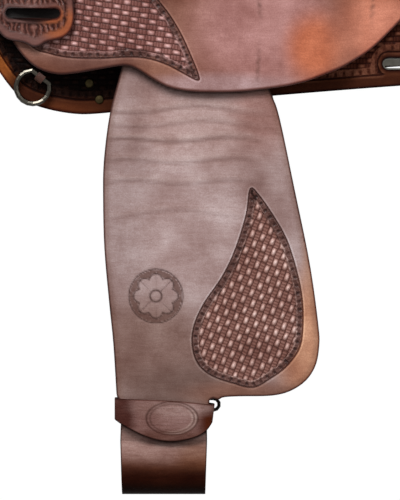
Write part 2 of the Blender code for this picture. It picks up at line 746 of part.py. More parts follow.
def fender_outline():
    shoulder = [(PIVOT_X - STRAP_RADIUS * math.cos(math.radians(a)),
                 PIVOT_Z + STRAP_RADIUS * math.sin(math.radians(a))) for a in range(0, 181, 15)]
    left = curve_through(FENDER_LEFT, 2)
    right = curve_through(FENDER_RIGHT, 2)
    mouth = HOBBLE_TOP + MOUTH_RISE
    step = mouth - MOUTH_STEP
    neck = [(NECK_LEFT, step), (NECK_LEFT, NECK_END), (NECK_RIGHT, NECK_END), (NECK_RIGHT, step),
            (NECK_RIGHT + MOUTH_STEP * 1.5, mouth)]
    return left + neck + right + shoulder[::-1]


def side_frame():
    return np.zeros(3), np.array([1.0, 0, 0]), np.array([0, 0, 1.0]), np.array([0, -1.0, 0])


def make_fender(side, sign):
    plate = flat_plate(fender_outline(), [], side_frame(), Y_FENDER, Y_FENDER_TOP)
    add_mesh("fender_" + side, *plate, LEATHER, sign, PIVOT)


def make_strap(side, sign):
    # Front ply down, an open fold at the bottom, and the back ply up again.
    front = Y_FRONT_PLY + PLY / 2
    back = Y_BACK_PLY + PLY / 2
    middle = (front + back) / 2
    fold = FOLD_RADIUS + PLY / 2
    fold_z = FOLD_BOTTOM + PLY / 2 + fold
    swell_z = HOBBLE_MID_BOTTOM - GAP
    bottom = []
    for k in range(13):
        angle = math.radians(-20.0 + 220.0 * k / 12)
        bottom.append((middle + fold * math.cos(angle), fold_z - fold * math.sin(angle)))
    path = [(front, swell_z)] + bottom + [(back, swell_z)]
    across = np.sin(np.radians(np.linspace(-90.0, 90.0, STRAP_COLUMNS)))
    top = [PIVOT_Z + STRAP_RADIUS * math.sqrt(max(1.0 - v * v, 0.0)) for v in across]
    rows = []
    for y, z in [(front, None), (front, PIVOT_Z - 0.02)] + path + [(back, PIVOT_Z - 0.02), (back, None)]:
        row = []
        for v, top_z in zip(across, top):
            level = top_z if z is None else z
            row.append((strap_centre(level) + v * STRAP_RADIUS, -y, level))
        rows.append(row)
    grid = np.array(rows)
    normals = grid_normals(grid, np.array([STRAP_X, -2.0, -0.4]))
    normals *= -np.sign(normals[0, len(across) // 2, 1])
    normals[[0, 1, 2]] = (0, -1, 0)
    normals[[-1, -2, -3]] = (0, 1, 0)
    add_mesh("stirrup_leather_" + side, *thick_grid(grid, normals, -PLY / 2, PLY / 2), LEATHER, sign, PIVOT)


def make_hanger(side, sign):
    # The fixed stretch of the leather, from over the bar down to the top of the hanging stretch.
    across = np.sin(np.radians(np.linspace(-90.0, 90.0, STRAP_COLUMNS)))
    arc = [PIVOT_Z + math.sqrt((STRAP_RADIUS + SWING_CLEARANCE) ** 2 - (v * STRAP_RADIUS) ** 2)
           for v in across]
    rows = []
    for k in range(7):
        u = k / 6
        row = []
        for v, low_z in zip(across, arc):
            x = PIVOT_X + v * STRAP_RADIUS
            start = angle_at(x, low_z, D_BAR_TOP)
            t = start + (HANGER_TOP_ANGLE - start) * u
            d = D_BAR_TOP + 2 * GAP
            d = d + (max(reach_plane(x, t, Y_FRONT_PLY), d) - d) * smooth_step(1.0 - u * 2.0)
            row.append(drape(x, t, d))
        rows.append(row)
    grid = np.array(rows)
    grid[0, :, 1] = -Y_FRONT_PLY
    grid[0, :, 2] = arc
    normals = grid_normals(grid, np.array([PIVOT_X, -2.0, 0.5]))
    add_mesh("strap_hanger_" + side, *thick_grid(grid, normals, 0.0, PLY), LEATHER, sign)


def make_hobble(side, sign):
    # One band round both plies and the neck of the fender, deeper in the middle of its face.
    front = Y_FENDER_TOP + GAP
    back = Y_BACK_PLY - GAP
    left, right = HOBBLE_LEFT + HOBBLE, HOBBLE_RIGHT - HOBBLE
    round_off = 0.0012
    path = []
    for k in range(13):
        path.append((left + round_off + (right - left - 2 * round_off) * k / 12, front))
    path.append((right - round_off * 0.3, front - round_off * 0.3))
    path += [(right, front - round_off), (right, back + round_off)]
    path.append((right - round_off * 0.3, back + round_off * 0.3))
    path += [(right - round_off, back), ((left + right) / 2, back), (left + round_off, back)]
    path.append((left + round_off * 0.3, back + round_off * 0.3))
    path += [(left, back + round_off), (left, front - round_off)]
    path.append((left + round_off * 0.3, front - round_off * 0.3))
    count = len(path)
    inner, outer = [], []
    for i, (x, y) in enumerate(path):
        ax, ay = path[i - 1]
        bx, by = path[(i + 1) % count]
        length = math.hypot(bx - ax, by - ay)
        nx, ny = -(by - ay) / length, (bx - ax) / length
        inner.append((x, y))
        outer.append((x + nx * HOBBLE, y + ny * HOBBLE))
    width = right - left
    points, faces = [], []
    for (x, y), (ox, oy) in zip(inner, outer):
        u = min(max((x - left) / width, 0.0), 1.0)
        belly = math.sin(math.pi * u) ** 1.2
        top = HOBBLE_TOP + 0.002 * (1.0 - u) - 0.001 * u
        bottom = HOBBLE_SIDE_BOTTOM + (HOBBLE_MID_BOTTOM - HOBBLE_SIDE_BOTTOM) * belly
        points += [(x, -y, top), (ox, -oy, top), (ox, -oy, bottom), (x, -y, bottom)]
    for i in range(count):
        j = (i + 1) % count
        for k in range(4):
            m = (k + 1) % 4
            faces.append((4 * i + k, 4 * i + m, 4 * j + m, 4 * j + k))
    add_mesh("hobble_strap_" + side, points, faces, DARK_LEATHER, sign, PIVOT)
    y = -(back - HOBBLE - GAP - WIRE / 2)
    ring = [np.array([x, y, z]) for x, z in
            rounded_slot(HOBBLE_RIGHT - HOBBLE_BUCKLE_IN, HOBBLE_TOP - HOBBLE_BUCKLE_DOWN,
                         *HOBBLE_BUCKLE, 5)]
    wire = wire_ring(ring, WIRE / 2, np.array([0, -1.0, 0]))
    add_mesh("hobble_buckle_" + side, *wire, BLACK_STEEL, sign, PIVOT)


def make_buckle(side, sign):
    # Plate on the back of the strap with two posts, and a sleeve that slides over it.
    x = strap_centre(BUCKLE_Z)
    back = Y_BACK_PLY - GAP
    frame = (np.array([x, -back, BUCKLE_Z]), np.array([-1.0, 0, 0]), np.array([0, 0, 1.0]),
             np.array([0, 1.0, 0]))
    outline = rounded_slot(0, 0, STRAP_WIDTH - 0.004, BUCKLE_HEIGHT, 4)
    plate = flat_plate(outline, [], frame, 0.0, BUCKLE)
    add_mesh("leather_buckle_" + side, *plate, STEEL, sign, PIVOT)
    sleeve_x = strap_centre(BUCKLE_Z + 0.010)
    inner = back - BUCKLE - SLEEVE_CLEARANCE
    lip = Y_FRONT_PLY + GAP * 0.3
    half = STRAP_RADIUS + 0.0018
    low = BUCKLE_Z - BUCKLE_HEIGHT / 2
    profile = [(-half, lip), (-half, inner), (half, inner), (half, lip), (half + SLEEVE, lip),
               (half + SLEEVE, inner - SLEEVE), (-half - SLEEVE, inner - SLEEVE), (-half - SLEEVE, lip)]
    rings = [[np.array([sleeve_x + px, -py, z]) for px, py in profile] for z in (low, low + SLEEVE_HEIGHT)]
    add_mesh("buckle_sleeve_" + side, *loft(rings), STEEL, sign, (sleeve_x, -inner, low))


def fork_grid():
    inner = curve_through(FORK_INNER, 2)
    outer = curve_through(FORK_OUTER, 2)

    def resample(points, count):
        p = np.array(points)
        length = np.r_[0, np.cumsum(np.linalg.norm(np.diff(p, axis=0), axis=1))]
        at = np.linspace(0, length[-1], count)
        return np.stack([np.interp(at, length, p[:, k]) for k in (0, 1)], axis=1)

    inner, outer = resample(inner, FORK_STEPS + 1), resample(outer, FORK_STEPS + 1)
    inner = np.vstack([inner * (-1, 1), inner[-2::-1]])
    outer = np.vstack([outer * (-1, 1), outer[-2::-1]])
    depth = FORK_REAR - FORK_FRONT
    section = [(0.06, 0.0), (0.0, 0.30), (0.03, 0.70), (0.14, 0.92), (0.36, 1.0), (0.66, 1.0),
               (0.87, 0.92), (0.97, 0.70), (1.0, 0.30), (0.94, 0.0)]
    grid = []
    for along, out in section:
        row = inner + (outer - inner) * out
        grid.append([(FORK_FRONT + depth * along, y, z) for y, z in row])
    return np.array(grid)


def make_fork():
    grid = fork_grid()
    columns = grid.shape[1]
    bar = tree_of("tree_bar_left")
    for i in range(grid.shape[0]):
        x, y, _ = grid[i, 0]
        foot = bar.ray_cast(Vector((x, -abs(y), 0.2)), Vector((0, 0, -1.0)))[0].z + FORK_LIFT
        grid[i, 0, 2] = grid[i, -1, 2] = foot
    rings = [list(grid[:, j]) for j in range(columns)]
    add_mesh("fork", *loft(rings), WOOD)
    centre = np.array([(FORK_FRONT + FORK_REAR) / 2, 0.0, 0.09])
    normals = -grid_normals(grid, centre)
    outward = grid - centre
    if np.sum(normals * outward) < 0:
        normals = -normals
    normals[:, 0] = normals[:, 1]
    normals[:, -1] = normals[:, -2]
    cover = add_mesh("fork_cover", *thick_grid(grid, normals, GAP, GAP + COVER), LEATHER)
    hole = HORN_NECK + GAP
    drill = turned([(0, -0.02), (hole, -0.02), (hole, 0.03), (0, 0.03)], 20, horn_frame())
    cutter = add_mesh("horn_hole_guide", *drill, STEEL)
    cutter.hide_render = True
    cutter.display_type = "WIRE"
    cut = cover.modifiers.new("horn_hole", "BOOLEAN")
    cut.operation = "DIFFERENCE"
    cut.object = cutter
    arch = np.array([grid[0], grid[-1]])
    lining = np.array([arch[0] * (1 - u) + arch[1] * u for u in (0.02, 0.5, 0.98)])[:, 1:-1]
    below = grid_normals(lining, np.array([centre[0], 0.0, 0.02]))
    add_mesh("gullet_lining", *thick_grid(lining, below, GAP * 2, GAP * 2 + 0.0025), DARK_LEATHER)


def horn_frame():
    lean = math.radians(HORN_LEAN)
    top = FORK_OUTER[-1][1] + GAP
    out = np.array([-math.sin(lean), 0.0, math.cos(lean)])
    right = np.array([math.cos(lean), 0.0, math.sin(lean)])
    return np.array([HORN_X, 0.0, top]), right, np.array([0.0, -1.0, 0.0]), out


def make_horn():
    frame = horn_frame()
    start = 0.0015
    cap = HORN_HEIGHT
    add_mesh("horn", *turned([(0, start), (HORN_NECK, start), (HORN_NECK, cap), (HORN_CAP, cap + 0.001),
                              (HORN_CAP, cap + CAP_CORE), (0, cap + CAP_CORE)], 24, frame), STEEL)
    inner = HORN_NECK + GAP
    low = COVER + 0.0035
    wrap_top = cap - CAP_COVER - 2 * GAP
    wrap = turned([(inner, low), (inner + HORN_WRAP * 1.7, low), (inner + HORN_WRAP, low + 0.012),
                   (inner + HORN_WRAP * 0.8, (low + wrap_top) / 2), (inner + HORN_WRAP, wrap_top),
                   (inner, wrap_top)], 24, frame)
    add_mesh("horn_wrap", *wrap, DARK_LEATHER)
    edge = HORN_CAP + GAP
    outer = edge + CAP_COVER
    top = cap + CAP_CORE
    under = cap - GAP - CAP_COVER
    cover = turned([(inner, cap - GAP), (inner, under), (outer - 0.003, under), (outer, cap + 0.001),
                    (outer, top), (outer - 0.004, top + CAP_COVER), (0, top + CAP_COVER),
                    (0, top + GAP), (edge, top + GAP), (edge, cap - GAP)], 24, frame)
    add_mesh("horn_cap_cover", *cover, LEATHER)


def seat_grid():
    across = np.linspace(-1.0, 1.0, 17)
    rows = []
    for x, top in SEAT_ROWS:
        t = seam_angle(max(x, -0.149))
        edge = drape(x, t, D_SEAT)
        row = []
        for s in across:
            row.append((x, abs(edge[1]) * s, top - SEAT + (edge[2] - top + SEAT) * abs(s) ** SEAT_CROWN))
        rows.append(row)
    x_end, reach, half, z_end, z_top = CANTLE_BASE
    rx_end, r_reach, r_half, rz_end, rz_top = CANTLE_RIM
    for v in CANTLE_LEVELS:
        row = []
        for s in across:
            angle = math.radians(90.0 * s)
            c, si = math.cos(angle), math.sin(angle)
            base = np.array([x_end - 0.035 + reach * c, half * si + 0.030 * s * (1 - c),
                             z_end + (z_top - z_end) * c ** 1.6])
            rim = np.array([rx_end - 0.020 + r_reach * c, r_half * si,
                            rz_end + (rz_top - rz_end) * c ** 0.9])
            row.append(base * (1 - v) + rim * v)
        rows.append(row)
    return np.array(rows)


def make_seat():
    grid = seat_grid()
    normals = grid_normals(grid, np.array([-0.05, 0.0, 1.0]))
    add_mesh("seat", *thick_grid(grid, normals, 0.0, SEAT), LEATHER)
    flat = len(SEAT_ROWS)
    under = thick_grid(grid[:flat, 2:-2], normals[:flat, 2:-2], -GAP - GROUND - STRAINER, -GAP)
    add_mesh("ground_seat", *under, DARK_LEATHER)
    pad = grid[1:flat + 3, 3:-3]
    rows, columns = pad.shape[:2]
    u = np.sin(np.linspace(0.06, 0.94, rows) * math.pi)[:, None]
    v = np.sin(np.linspace(0.06, 0.94, columns) * math.pi)[None, :]
    crown = PAD_EDGE + PAD_CROWN * (u * v) ** 0.6
    add_mesh("seat_pad", *thick_grid(pad, normals[1:flat + 3, 3:-3], SEAT + GAP, SEAT + GAP + crown), SUEDE)
    face = grid[flat + 1:]
    out = normals[flat + 1:]
    board = -GAP - CANTLE_BOARD
    add_mesh("cantle_board", *thick_grid(face, out, board, -GAP), WOOD)
    add_mesh("cantle_back", *thick_grid(face, out, board - GAP - CANTLE_BACK, board - GAP), LEATHER)
    rim = face[-1]
    thick = out[-1]
    rise = rim - face[-2]
    rise -= thick * np.sum(rise * thick, axis=1, keepdims=True)
    rise /= np.linalg.norm(rise, axis=1, keepdims=True)
    centre = rim + thick * ((SEAT + board - GAP - CANTLE_BACK) / 2) + rise * (BINDING_HIGH + BINDING_LIFT)
    rings = []
    for p, r, n in zip(centre, rise, thick):
        rings.append([p + n * BINDING_WIDE * math.cos(a) + r * BINDING_HIGH * math.sin(a)
                      for a in np.radians(range(0, 360, 36))])
    add_mesh("cantle_binding", *loft(rings), DARK_LEATHER)


def make_lacing():
    # A flat thong that ties the two skirts together behind the cantle.
    level = drape(LACING_X, T_STATIONS[0], D_SKIRT_TOP)[2] + LACING * 1.1
    rings = []
    for y, drop in ((-LACING_HALF, 0.7), (-SPINE_HALF, 0.0), (SPINE_HALF, 0.0), (LACING_HALF, 0.7)):
        low = level - LACING * drop
        rings.append([np.array([LACING_X + a * LACING_WIDTH / 2, y, low + b * LACING])
                      for a, b in ((-1, 0), (1, 0), (1, 1), (-1, 1))])
    add_mesh("rear_lacing", *loft(rings), DARK_LEATHER)


def main():
    clear_scene()
    for side, sign in SIDES.items():
        make_skirts(side, sign)
        make_bars(side, sign)
        make_jockeys(side, sign)
        make_rear_jockeys(side, sign)
        make_keeper(side, sign)
        make_dee_tab(side, sign, *make_dee(side, sign))
        make_fender(side, sign)
        make_strap(side, sign)
        make_hanger(side, sign)
        make_hobble(side, sign)
        make_buckle(side, sign)
        make_rivets(side, sign)
        make_conchos(side, sign)
    make_fork()
    make_horn()
    make_seat()
    make_lacing()


main()
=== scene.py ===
# Western trail saddle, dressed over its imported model. Metres, +Z up, the horse faces -X.
import math
from functools import partial

import bmesh
import bpy
import numpy as np
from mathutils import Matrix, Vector
from mathutils.geometry import delaunay_2d_cdt


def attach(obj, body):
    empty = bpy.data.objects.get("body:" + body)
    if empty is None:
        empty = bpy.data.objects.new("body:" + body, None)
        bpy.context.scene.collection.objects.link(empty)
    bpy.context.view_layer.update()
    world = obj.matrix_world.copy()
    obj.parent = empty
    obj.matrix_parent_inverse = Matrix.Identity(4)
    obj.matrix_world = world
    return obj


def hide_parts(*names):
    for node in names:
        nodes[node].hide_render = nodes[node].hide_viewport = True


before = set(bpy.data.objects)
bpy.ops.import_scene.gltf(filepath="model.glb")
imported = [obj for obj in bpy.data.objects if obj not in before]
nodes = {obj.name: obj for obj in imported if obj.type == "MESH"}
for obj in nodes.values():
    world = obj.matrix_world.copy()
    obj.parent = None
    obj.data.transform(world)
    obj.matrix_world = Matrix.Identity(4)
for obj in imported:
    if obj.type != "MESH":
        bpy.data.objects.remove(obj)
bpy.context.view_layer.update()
sides = {"left": 1.0, "right": -1.0}
mm = 0.001


# Small helpers

def hexColour(code):
    # sRGB hex to linear
    channels = [int(code[i:i + 2], 16) / 255 for i in (1, 3, 5)]
    return [c / 12.92 if c <= 0.04045 else ((c + 0.055) / 1.055) ** 2.4 for c in channels] + [1.0]


def smooth(value):
    u = np.clip(value, 0.0, 1.0)
    return u * u * (3.0 - 2.0 * u)


def between(value, low, high, blend):
    return smooth((value - low) / blend + 1.0) * smooth((high - value) / blend + 1.0)


def curveThrough(points, steps):
    p = [np.array(q, float) for q in points]
    p = [2 * p[0] - p[1]] + p + [2 * p[-1] - p[-2]]
    made = []
    for i in range(1, len(p) - 2):
        for u in np.arange(steps) / steps:
            made.append(0.5 * (2 * p[i] + (p[i + 1] - p[i - 1]) * u
                               + (2 * p[i - 1] - 5 * p[i] + 4 * p[i + 1] - p[i + 2]) * u ** 2
                               + (3 * p[i] - p[i - 1] - 3 * p[i + 1] + p[i + 2]) * u ** 3))
    made.append(p[-2])
    return np.array(made)


def closedCurve(points, steps):
    count = len(points)
    made = curveThrough([points[(i - 2) % count] for i in range(count + 5)], steps)
    return made[2 * steps:(count + 2) * steps]


def runOf(points):
    # Length along a line, up to each of its points
    return np.r_[0, np.cumsum(np.linalg.norm(np.diff(points, axis=0), axis=1))]


def unit(vectors):
    return vectors / np.linalg.norm(vectors, axis=-1, keepdims=True)


def evenly(loop, gap, closed=True):
    p = np.array(loop, float)
    if closed:
        p = np.vstack([p, p[:1]])
    run = runOf(p)
    count = max(int(round(run[-1] / gap)), 6)
    at = np.linspace(0, run[-1], count + 1)
    made = np.stack([np.interp(at, run, p[:, k]) for k in range(p.shape[1])], axis=1)
    return made[:-1] if closed else made


def nearest(points, loop, closed=True):
    # Distance from each point to a polyline, and how far along it the nearest place is
    a = np.array(loop, float)
    b = np.roll(a, -1, axis=0) if closed else a[1:]
    a = a if closed else a[:-1]
    d = b - a
    size = np.maximum(np.sum(d * d, axis=1), 1e-12)
    run = np.r_[0, np.cumsum(np.sqrt(size))]
    away, along = np.empty(len(points)), np.empty(len(points))
    for i in range(0, len(points), 4000):
        q = points[i:i + 4000, None, :] - a[None]
        u = np.clip(np.sum(q * d, axis=2) / size, 0, 1)
        gap = np.sum((q - u[..., None] * d) ** 2, axis=2)
        which = np.argmin(gap, axis=1)
        here = np.arange(len(which))
        away[i:i + 4000] = np.sqrt(gap[here, which])
        along[i:i + 4000] = run[which] + u[here, which] * np.sqrt(size[which])
    return away, along


def distanceTo(points, loop, closed=True):
    return nearest(points, loop, closed)[0]


def insideOf(points, loop):
    a = np.array(loop, float)
    b = np.roll(a, -1, axis=0)
    hit = np.zeros(len(points), bool)
    for (ax, ay), (bx, by) in zip(a, b):
        if ay == by:
            continue
        cross = (ay > points[:, 1]) != (by > points[:, 1])
        hit ^= cross & (points[:, 0] < (bx - ax) * (points[:, 1] - ay) / (by - ay) + ax)
    return hit


def within(points, loops):
    # Inside the first loop and outside the others, which are its holes
    good = insideOf(points, loops[0])
    for loop in loops[1:]:
        good &= ~insideOf(points, loop)
    return good


def depthIn(points, loop):
    # Distance inside a loop: positive within it and negative outside
    return np.where(insideOf(points, loop), 1.0, -1.0) * distanceTo(points, loop)


# The shape that every leather follows, as in the model

drapeShape = {"spineHalf": 0.030, "halfWidth": 0.212, "rearFlare": 0.014, "flareStart": 0.090, "flareRun": 0.220,
              "depth": 0.260, "power": 2.4, "riseFront": 0.035, "riseRear": 0.026, "riseReach": 0.300}
layers = {"fleece": 0.012, "skirt": 0.0125, "skirtTop": 0.0175, "seat": 0.045, "leather": 0.005, "gap": 0.0005,
          "backPly": 0.2325, "frontPly": 0.2366, "fender": 0.2407, "fenderTop": 0.2447, "jockey": 0.2459}
# Patterns are cut in metres fore and aft by degrees down the drape, and a degree counts as this many metres
degree = 0.0042


def drape(x, t, d):
    s = drapeShape
    x, t, d = np.broadcast_arrays(np.asarray(x, float), np.asarray(t, float), np.asarray(d, float))
    across = s["halfWidth"] + s["rearFlare"] * smooth((x - s["flareStart"]) / s["flareRun"]) - s["spineHalf"]
    up = s["depth"] + np.where(x < 0, s["riseFront"], s["riseRear"]) * (x / s["riseReach"]) ** 2
    sine = np.sin(np.radians(np.clip(t, 0.01, 90))) ** (2 / s["power"])
    cosine = np.maximum(np.cos(np.radians(t)), 1e-9) ** (2 / s["power"])
    ny, nz = sine ** (s["power"] - 1) / across, cosine ** (s["power"] - 1) / up
    size = np.hypot(ny, nz)
    return np.stack([x, -(s["spineHalf"] + across * sine + d * ny / size), -s["depth"] + up * cosine + d * nz / size],
                    axis=-1)


def reachPlane(x, t, y):
    near, far = drape(x, t, 0.0)[..., 1], drape(x, t, 0.05)[..., 1]
    return 0.05 * (y + near) / (near - far)


def overTree(x, t):
    low = layers["skirtTop"] + layers["gap"]
    covered = between(x, -0.300, 0.300, 0.03) * between(t, 0.0, 51.0, 16.0)
    return low + (layers["seat"] - low) * covered


def underJockey(x, t):
    bulge = 0.016 * smooth((t - 40.0) / 19.0)
    hanging = np.minimum(reachPlane(x, t, layers["jockey"]), layers["seat"] + bulge)
    low = overTree(x, t)
    return low + np.maximum(hanging - low, 0.0) * between(x, -0.225, -0.010, 0.045)


def jockeyTop(x, t):
    return underJockey(x, t) + layers["leather"]


def rearTop(x, t):
    return overTree(x, t) + layers["leather"]


def keeperTop(x, t):
    # Seated on the jockey at its top and bowed off it round the slot
    bow = smooth((t - keeper["bowStart"]) / keeper["bowRun"])
    return jockeyTop(x, t) + keeper["seat"] + keeper["bow"] * bow + keeper["thick"]


def layerAngle(points, height):
    # The angle down the drape of points given as seen from the side
    p = np.array(points, float)
    x, z = p[:, 0], p[:, 1]

    def solve(d):
        low, high = np.full(len(x), 2.0), np.full(len(x), 90.0)
        for _ in range(30):
            middle = (low + high) / 2
            above = drape(x, middle, d)[:, 2] > z
            low, high = np.where(above, middle, low), np.where(above, high, middle)
        return (low + high) / 2

    t = solve(layers["seat"])
    for _ in range(3):
        t = solve(height(x, t) if callable(height) else height)
    return np.stack([x, t * degree], axis=1)


def closedBy(lower, top):
    # A pattern's lower edge closed by (x, degrees) points along its top
    return np.vstack([lower, np.array([(x, t * degree) for x, t in top])])


# Sheets of leather cut from an outline

def cutSheet(outline, holes, lines, step, extra=()):
    loops = [np.array(outline)] + [np.array(h) for h in holes]
    points, edges = [], []
    for loop in loops:
        start = len(points)
        points += [tuple(q) for q in loop]
        edges += [(start + i, start + (i + 1) % len(loop)) for i in range(len(loop))]
    for line in lines:
        keep = depthIn(np.array(line), loops[0]) > step * 0.3
        start = len(points)
        points += [tuple(q) for q in line]
        edges += [(start + i, start + i + 1) for i in range(len(line) - 1) if keep[i] and keep[i + 1]]
    low, high = loops[0].min(axis=0), loops[0].max(axis=0)
    xs, ys = np.arange(low[0], high[0], step), np.arange(low[1], high[1], step * 0.87)
    grid = np.array([(x + (j % 2) * step / 2, y) for j, y in enumerate(ys) for x in xs])
    if len(extra):
        grid = np.vstack([grid, np.array(extra)])
    good = within(grid, loops)
    for loop in loops:
        good &= distanceTo(grid, loop) > step * 0.45
    points += [tuple(q) for q in grid[good]]
    made, _, faces = delaunay_2d_cdt(points, edges, [], 0, 1e-6)[:3]
    flat = np.array([(q[0], q[1]) for q in made])
    faces = np.array([tuple(f) for f in faces])
    faces = faces[within(flat[faces].mean(axis=1), loops)]
    used = np.unique(faces)
    index = np.full(len(flat), -1)
    index[used] = np.arange(len(used))
    return flat[used], index[faces]


def newObject(name, data):
    made = bpy.data.objects.new(name, data)
    bpy.context.scene.collection.objects.link(made)
    return made


def addPiece(name, points, faces, finish, body, replaced=(), uv=None, marks=None, bevel=0.0):
    mesh = bpy.data.meshes.new(name)
    mesh.from_pydata([tuple(p) for p in points], [], [tuple(int(i) for i in f) for f in faces])
    work = bmesh.new()
    work.from_mesh(mesh)
    bmesh.ops.recalc_face_normals(work, faces=work.faces)
    work.to_mesh(mesh)
    work.free()
    mesh.shade_smooth()
    mesh.set_sharp_from_angle(angle=math.radians(40))
    if uv is not None:
        layer = mesh.uv_layers.new(name="stampMap")
        order = np.empty(len(mesh.loops), dtype=np.int32)
        mesh.loops.foreach_get("vertex_index", order)
        layer.data.foreach_set("uv", np.asarray(uv, np.float32)[order].ravel())
    for key, values in (marks or {}).items():
        values = np.asarray(values, np.float32)
        kind = "FLOAT" if values.ndim == 1 else "FLOAT_COLOR"
        data = mesh.attributes.new(key, kind, "POINT").data
        data.foreach_set("value" if kind == "FLOAT" else "color", values.ravel())
    mesh.materials.append(finish)
    piece = newObject(name, mesh)
    if bevel:
        worn = piece.modifiers.new("worn edge", "BEVEL")
        worn.width, worn.segments, worn.limit_method = bevel, 2, "ANGLE"
        worn.angle_limit = math.radians(55)
    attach(piece, body)
    if replaced:
        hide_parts(*replaced)
    return piece


def slab(outer, inner):
    # Points and faces of a slab between two grids of the same size
    n, m = outer.shape[:2]
    index = np.arange(n * m).reshape(n, m)
    quads = np.stack([index[:-1, :-1], index[:-1, 1:], index[1:, 1:], index[1:, :-1]], axis=-1).reshape(-1, 4)
    loop = list(index[0]) + list(index[1:, -1]) + list(index[-1, -2::-1]) + list(index[-2:0:-1, 0])
    faces = [tuple(f) for f in quads] + [tuple(f[::-1] + n * m) for f in quads]
    faces += [(b, a, a + n * m, b + n * m) for a, b in zip(loop, loop[1:] + loop[:1])]
    return np.vstack([outer.reshape(-1, 3), inner.reshape(-1, 3)]), faces


def tubeFaces(n, m, endless=False):
    # Faces round n rings of m points, the last ring joined to the first one in an endless tube
    index = np.arange(n * m).reshape(n, m)
    here, after = (index, np.roll(index, -1, axis=0)) if endless else (index[:-1], index[1:])
    turned = np.roll(here, -1, axis=1), np.roll(after, -1, axis=1)
    return [tuple(f) for f in np.stack([here, *turned, after], axis=-1).reshape(-1, 4)]


def hideMarks(tone, along, edge, into=-20.0, carve=0.0):
    # What the tooled leather reads at each point: its tone, the way along and the depth inside a stamped panel, the
    # distance from its edge and how deep it is carved; lengths are in millimetres
    blank = np.zeros(len(edge))
    return {"tone": tone, "into": blank + into, "along": blank + along, "edge": edge, "carve": blank + carve}


def rim(faces):
    # Edges that belong to one face only, in their face's direction
    edges = np.vstack([faces[:, [0, 1]], faces[:, [1, 2]], faces[:, [2, 0]]])
    key = np.sort(edges, axis=1)
    _, where, count = np.unique(key, axis=0, return_index=True, return_counts=True)
    return edges[where[count == 1]]


def makeSheet(stem, side, finish, paint, outline, spacing, step, place, low, high, holes=(), lines=(), extra=(),
              turn=0.0, bevel=0.0009, mapUpright=False, body="saddle", ending="_leather_"):
    # low and high are heights for place, which puts a pattern's points where they lie; paint gives the marks and the
    # relief of the outer face; spacing is between the outline's points and step between the others, in millimetres
    flat, faces = cutSheet(evenly(outline, spacing * mm), holes, lines, step * mm, extra)
    outer, inner = place(high)(flat), place(low)(flat)
    marks, relief = paint(flat, outer)
    outer = outer + unit(outer - inner) * relief[:, None]
    points = np.vstack([outer, inner]) * (1, sides[side], 1)
    count = len(flat)
    solid = [tuple(f) for f in faces] + [tuple(f[::-1] + count) for f in faces]
    solid += [(b, a, a + count, b + count) for a, b in rim(faces)]
    both = {}
    for key, values in marks.items():
        under = np.array(values)
        if key in ("into", "carve"):
            under = under * 0.0 - (99.0 if key == "into" else 0.0)
        both[key] = np.concatenate([values, under])
    c, s = math.cos(math.radians(turn)), math.sin(math.radians(turn))
    across = outer[:, [0, 2]] if mapUpright else flat
    uv = np.stack([across[:, 0] * c + across[:, 1] * s, across[:, 1] * c - across[:, 0] * s], axis=1)
    return addPiece(stem + ending + side, points, solid, finish, body, [stem + "_" + side],
                    np.vstack([uv, uv]), both, bevel)


def draped(height):
    # Places a pattern on the drape at a height, which may vary with the place
    def place(flat):
        x, t = flat[:, 0], flat[:, 1] / degree
        return drape(x, t, height(x, t) if callable(height) else height)
    return place


def upright(y):
    # Places a pattern on an upright plane
    return lambda flat: np.stack([flat[:, 0], np.full(len(flat), -y), flat[:, 1]], axis=1)


# Materials

def feed(node, *inputs, **named):
    # Inputs in order and by name, each a value, a node or (node, output)
    places = [(node.inputs[i], value) for i, value in enumerate(inputs)]
    places += [(node.inputs[key.replace("_", " ")], value) for key, value in named.items()]
    for socket, value in places:
        if hasattr(value, "outputs"):
            value = value, 0
        if isinstance(value, tuple) and hasattr(value[0], "outputs"):
            node.id_data.links.new(value[0].outputs[value[1]], socket)
        elif value is not None:
            socket.default_value = value
    return node


def addNode(tree, kind, settings, *inputs, **named):
    node = tree.nodes.new("ShaderNode" + kind)
    for key, value in settings.items():
        setattr(node, key, value)
    return feed(node, *inputs, **named)


def newMaterial(name):
    made = bpy.data.materials.new(name)
    made.use_nodes = True
    return made, partial(addNode, made.node_tree), made.node_tree.nodes["Principled BSDF"]


add, subtract, multiply, both, power = [("Math", {"operation": kind}) for kind in (
    "ADD", "SUBTRACT", "MULTIPLY", "MULTIPLY_ADD", "POWER")]
fraction, most, positive, whole, wave = [("Math", {"operation": kind}) for kind in (
    "FRACT", "MAXIMUM", "ABSOLUTE", "FLOOR", "SINE")]
eased = {"interpolation_type": "SMOOTHSTEP"}
noiseLow, noiseHigh = 0.3, 0.7

# Basket stamp: strips that pass over and under each other, one over every 8.3 x 4.8 mm, as the hand stamp leaves them;
# the crowns of the strips on top are pale from rubbing and a painted highlight
basketStamp = {"length": 8.3 * mm, "width": 4.8 * mm, "waver": 0.0016, "crown": 1.7, "rubbedAndHighlit": 1.4, "ribs": 3}
# Tool marks round a panel, in millimetres: a cut line, a raised lip outside it and a band of tapped ground
tooling = {"bandEnd": (5.5, 6.5), "bandStart": (0.5, 1.2), "tapPitch": 7.5, "tapDepth": 6.0}


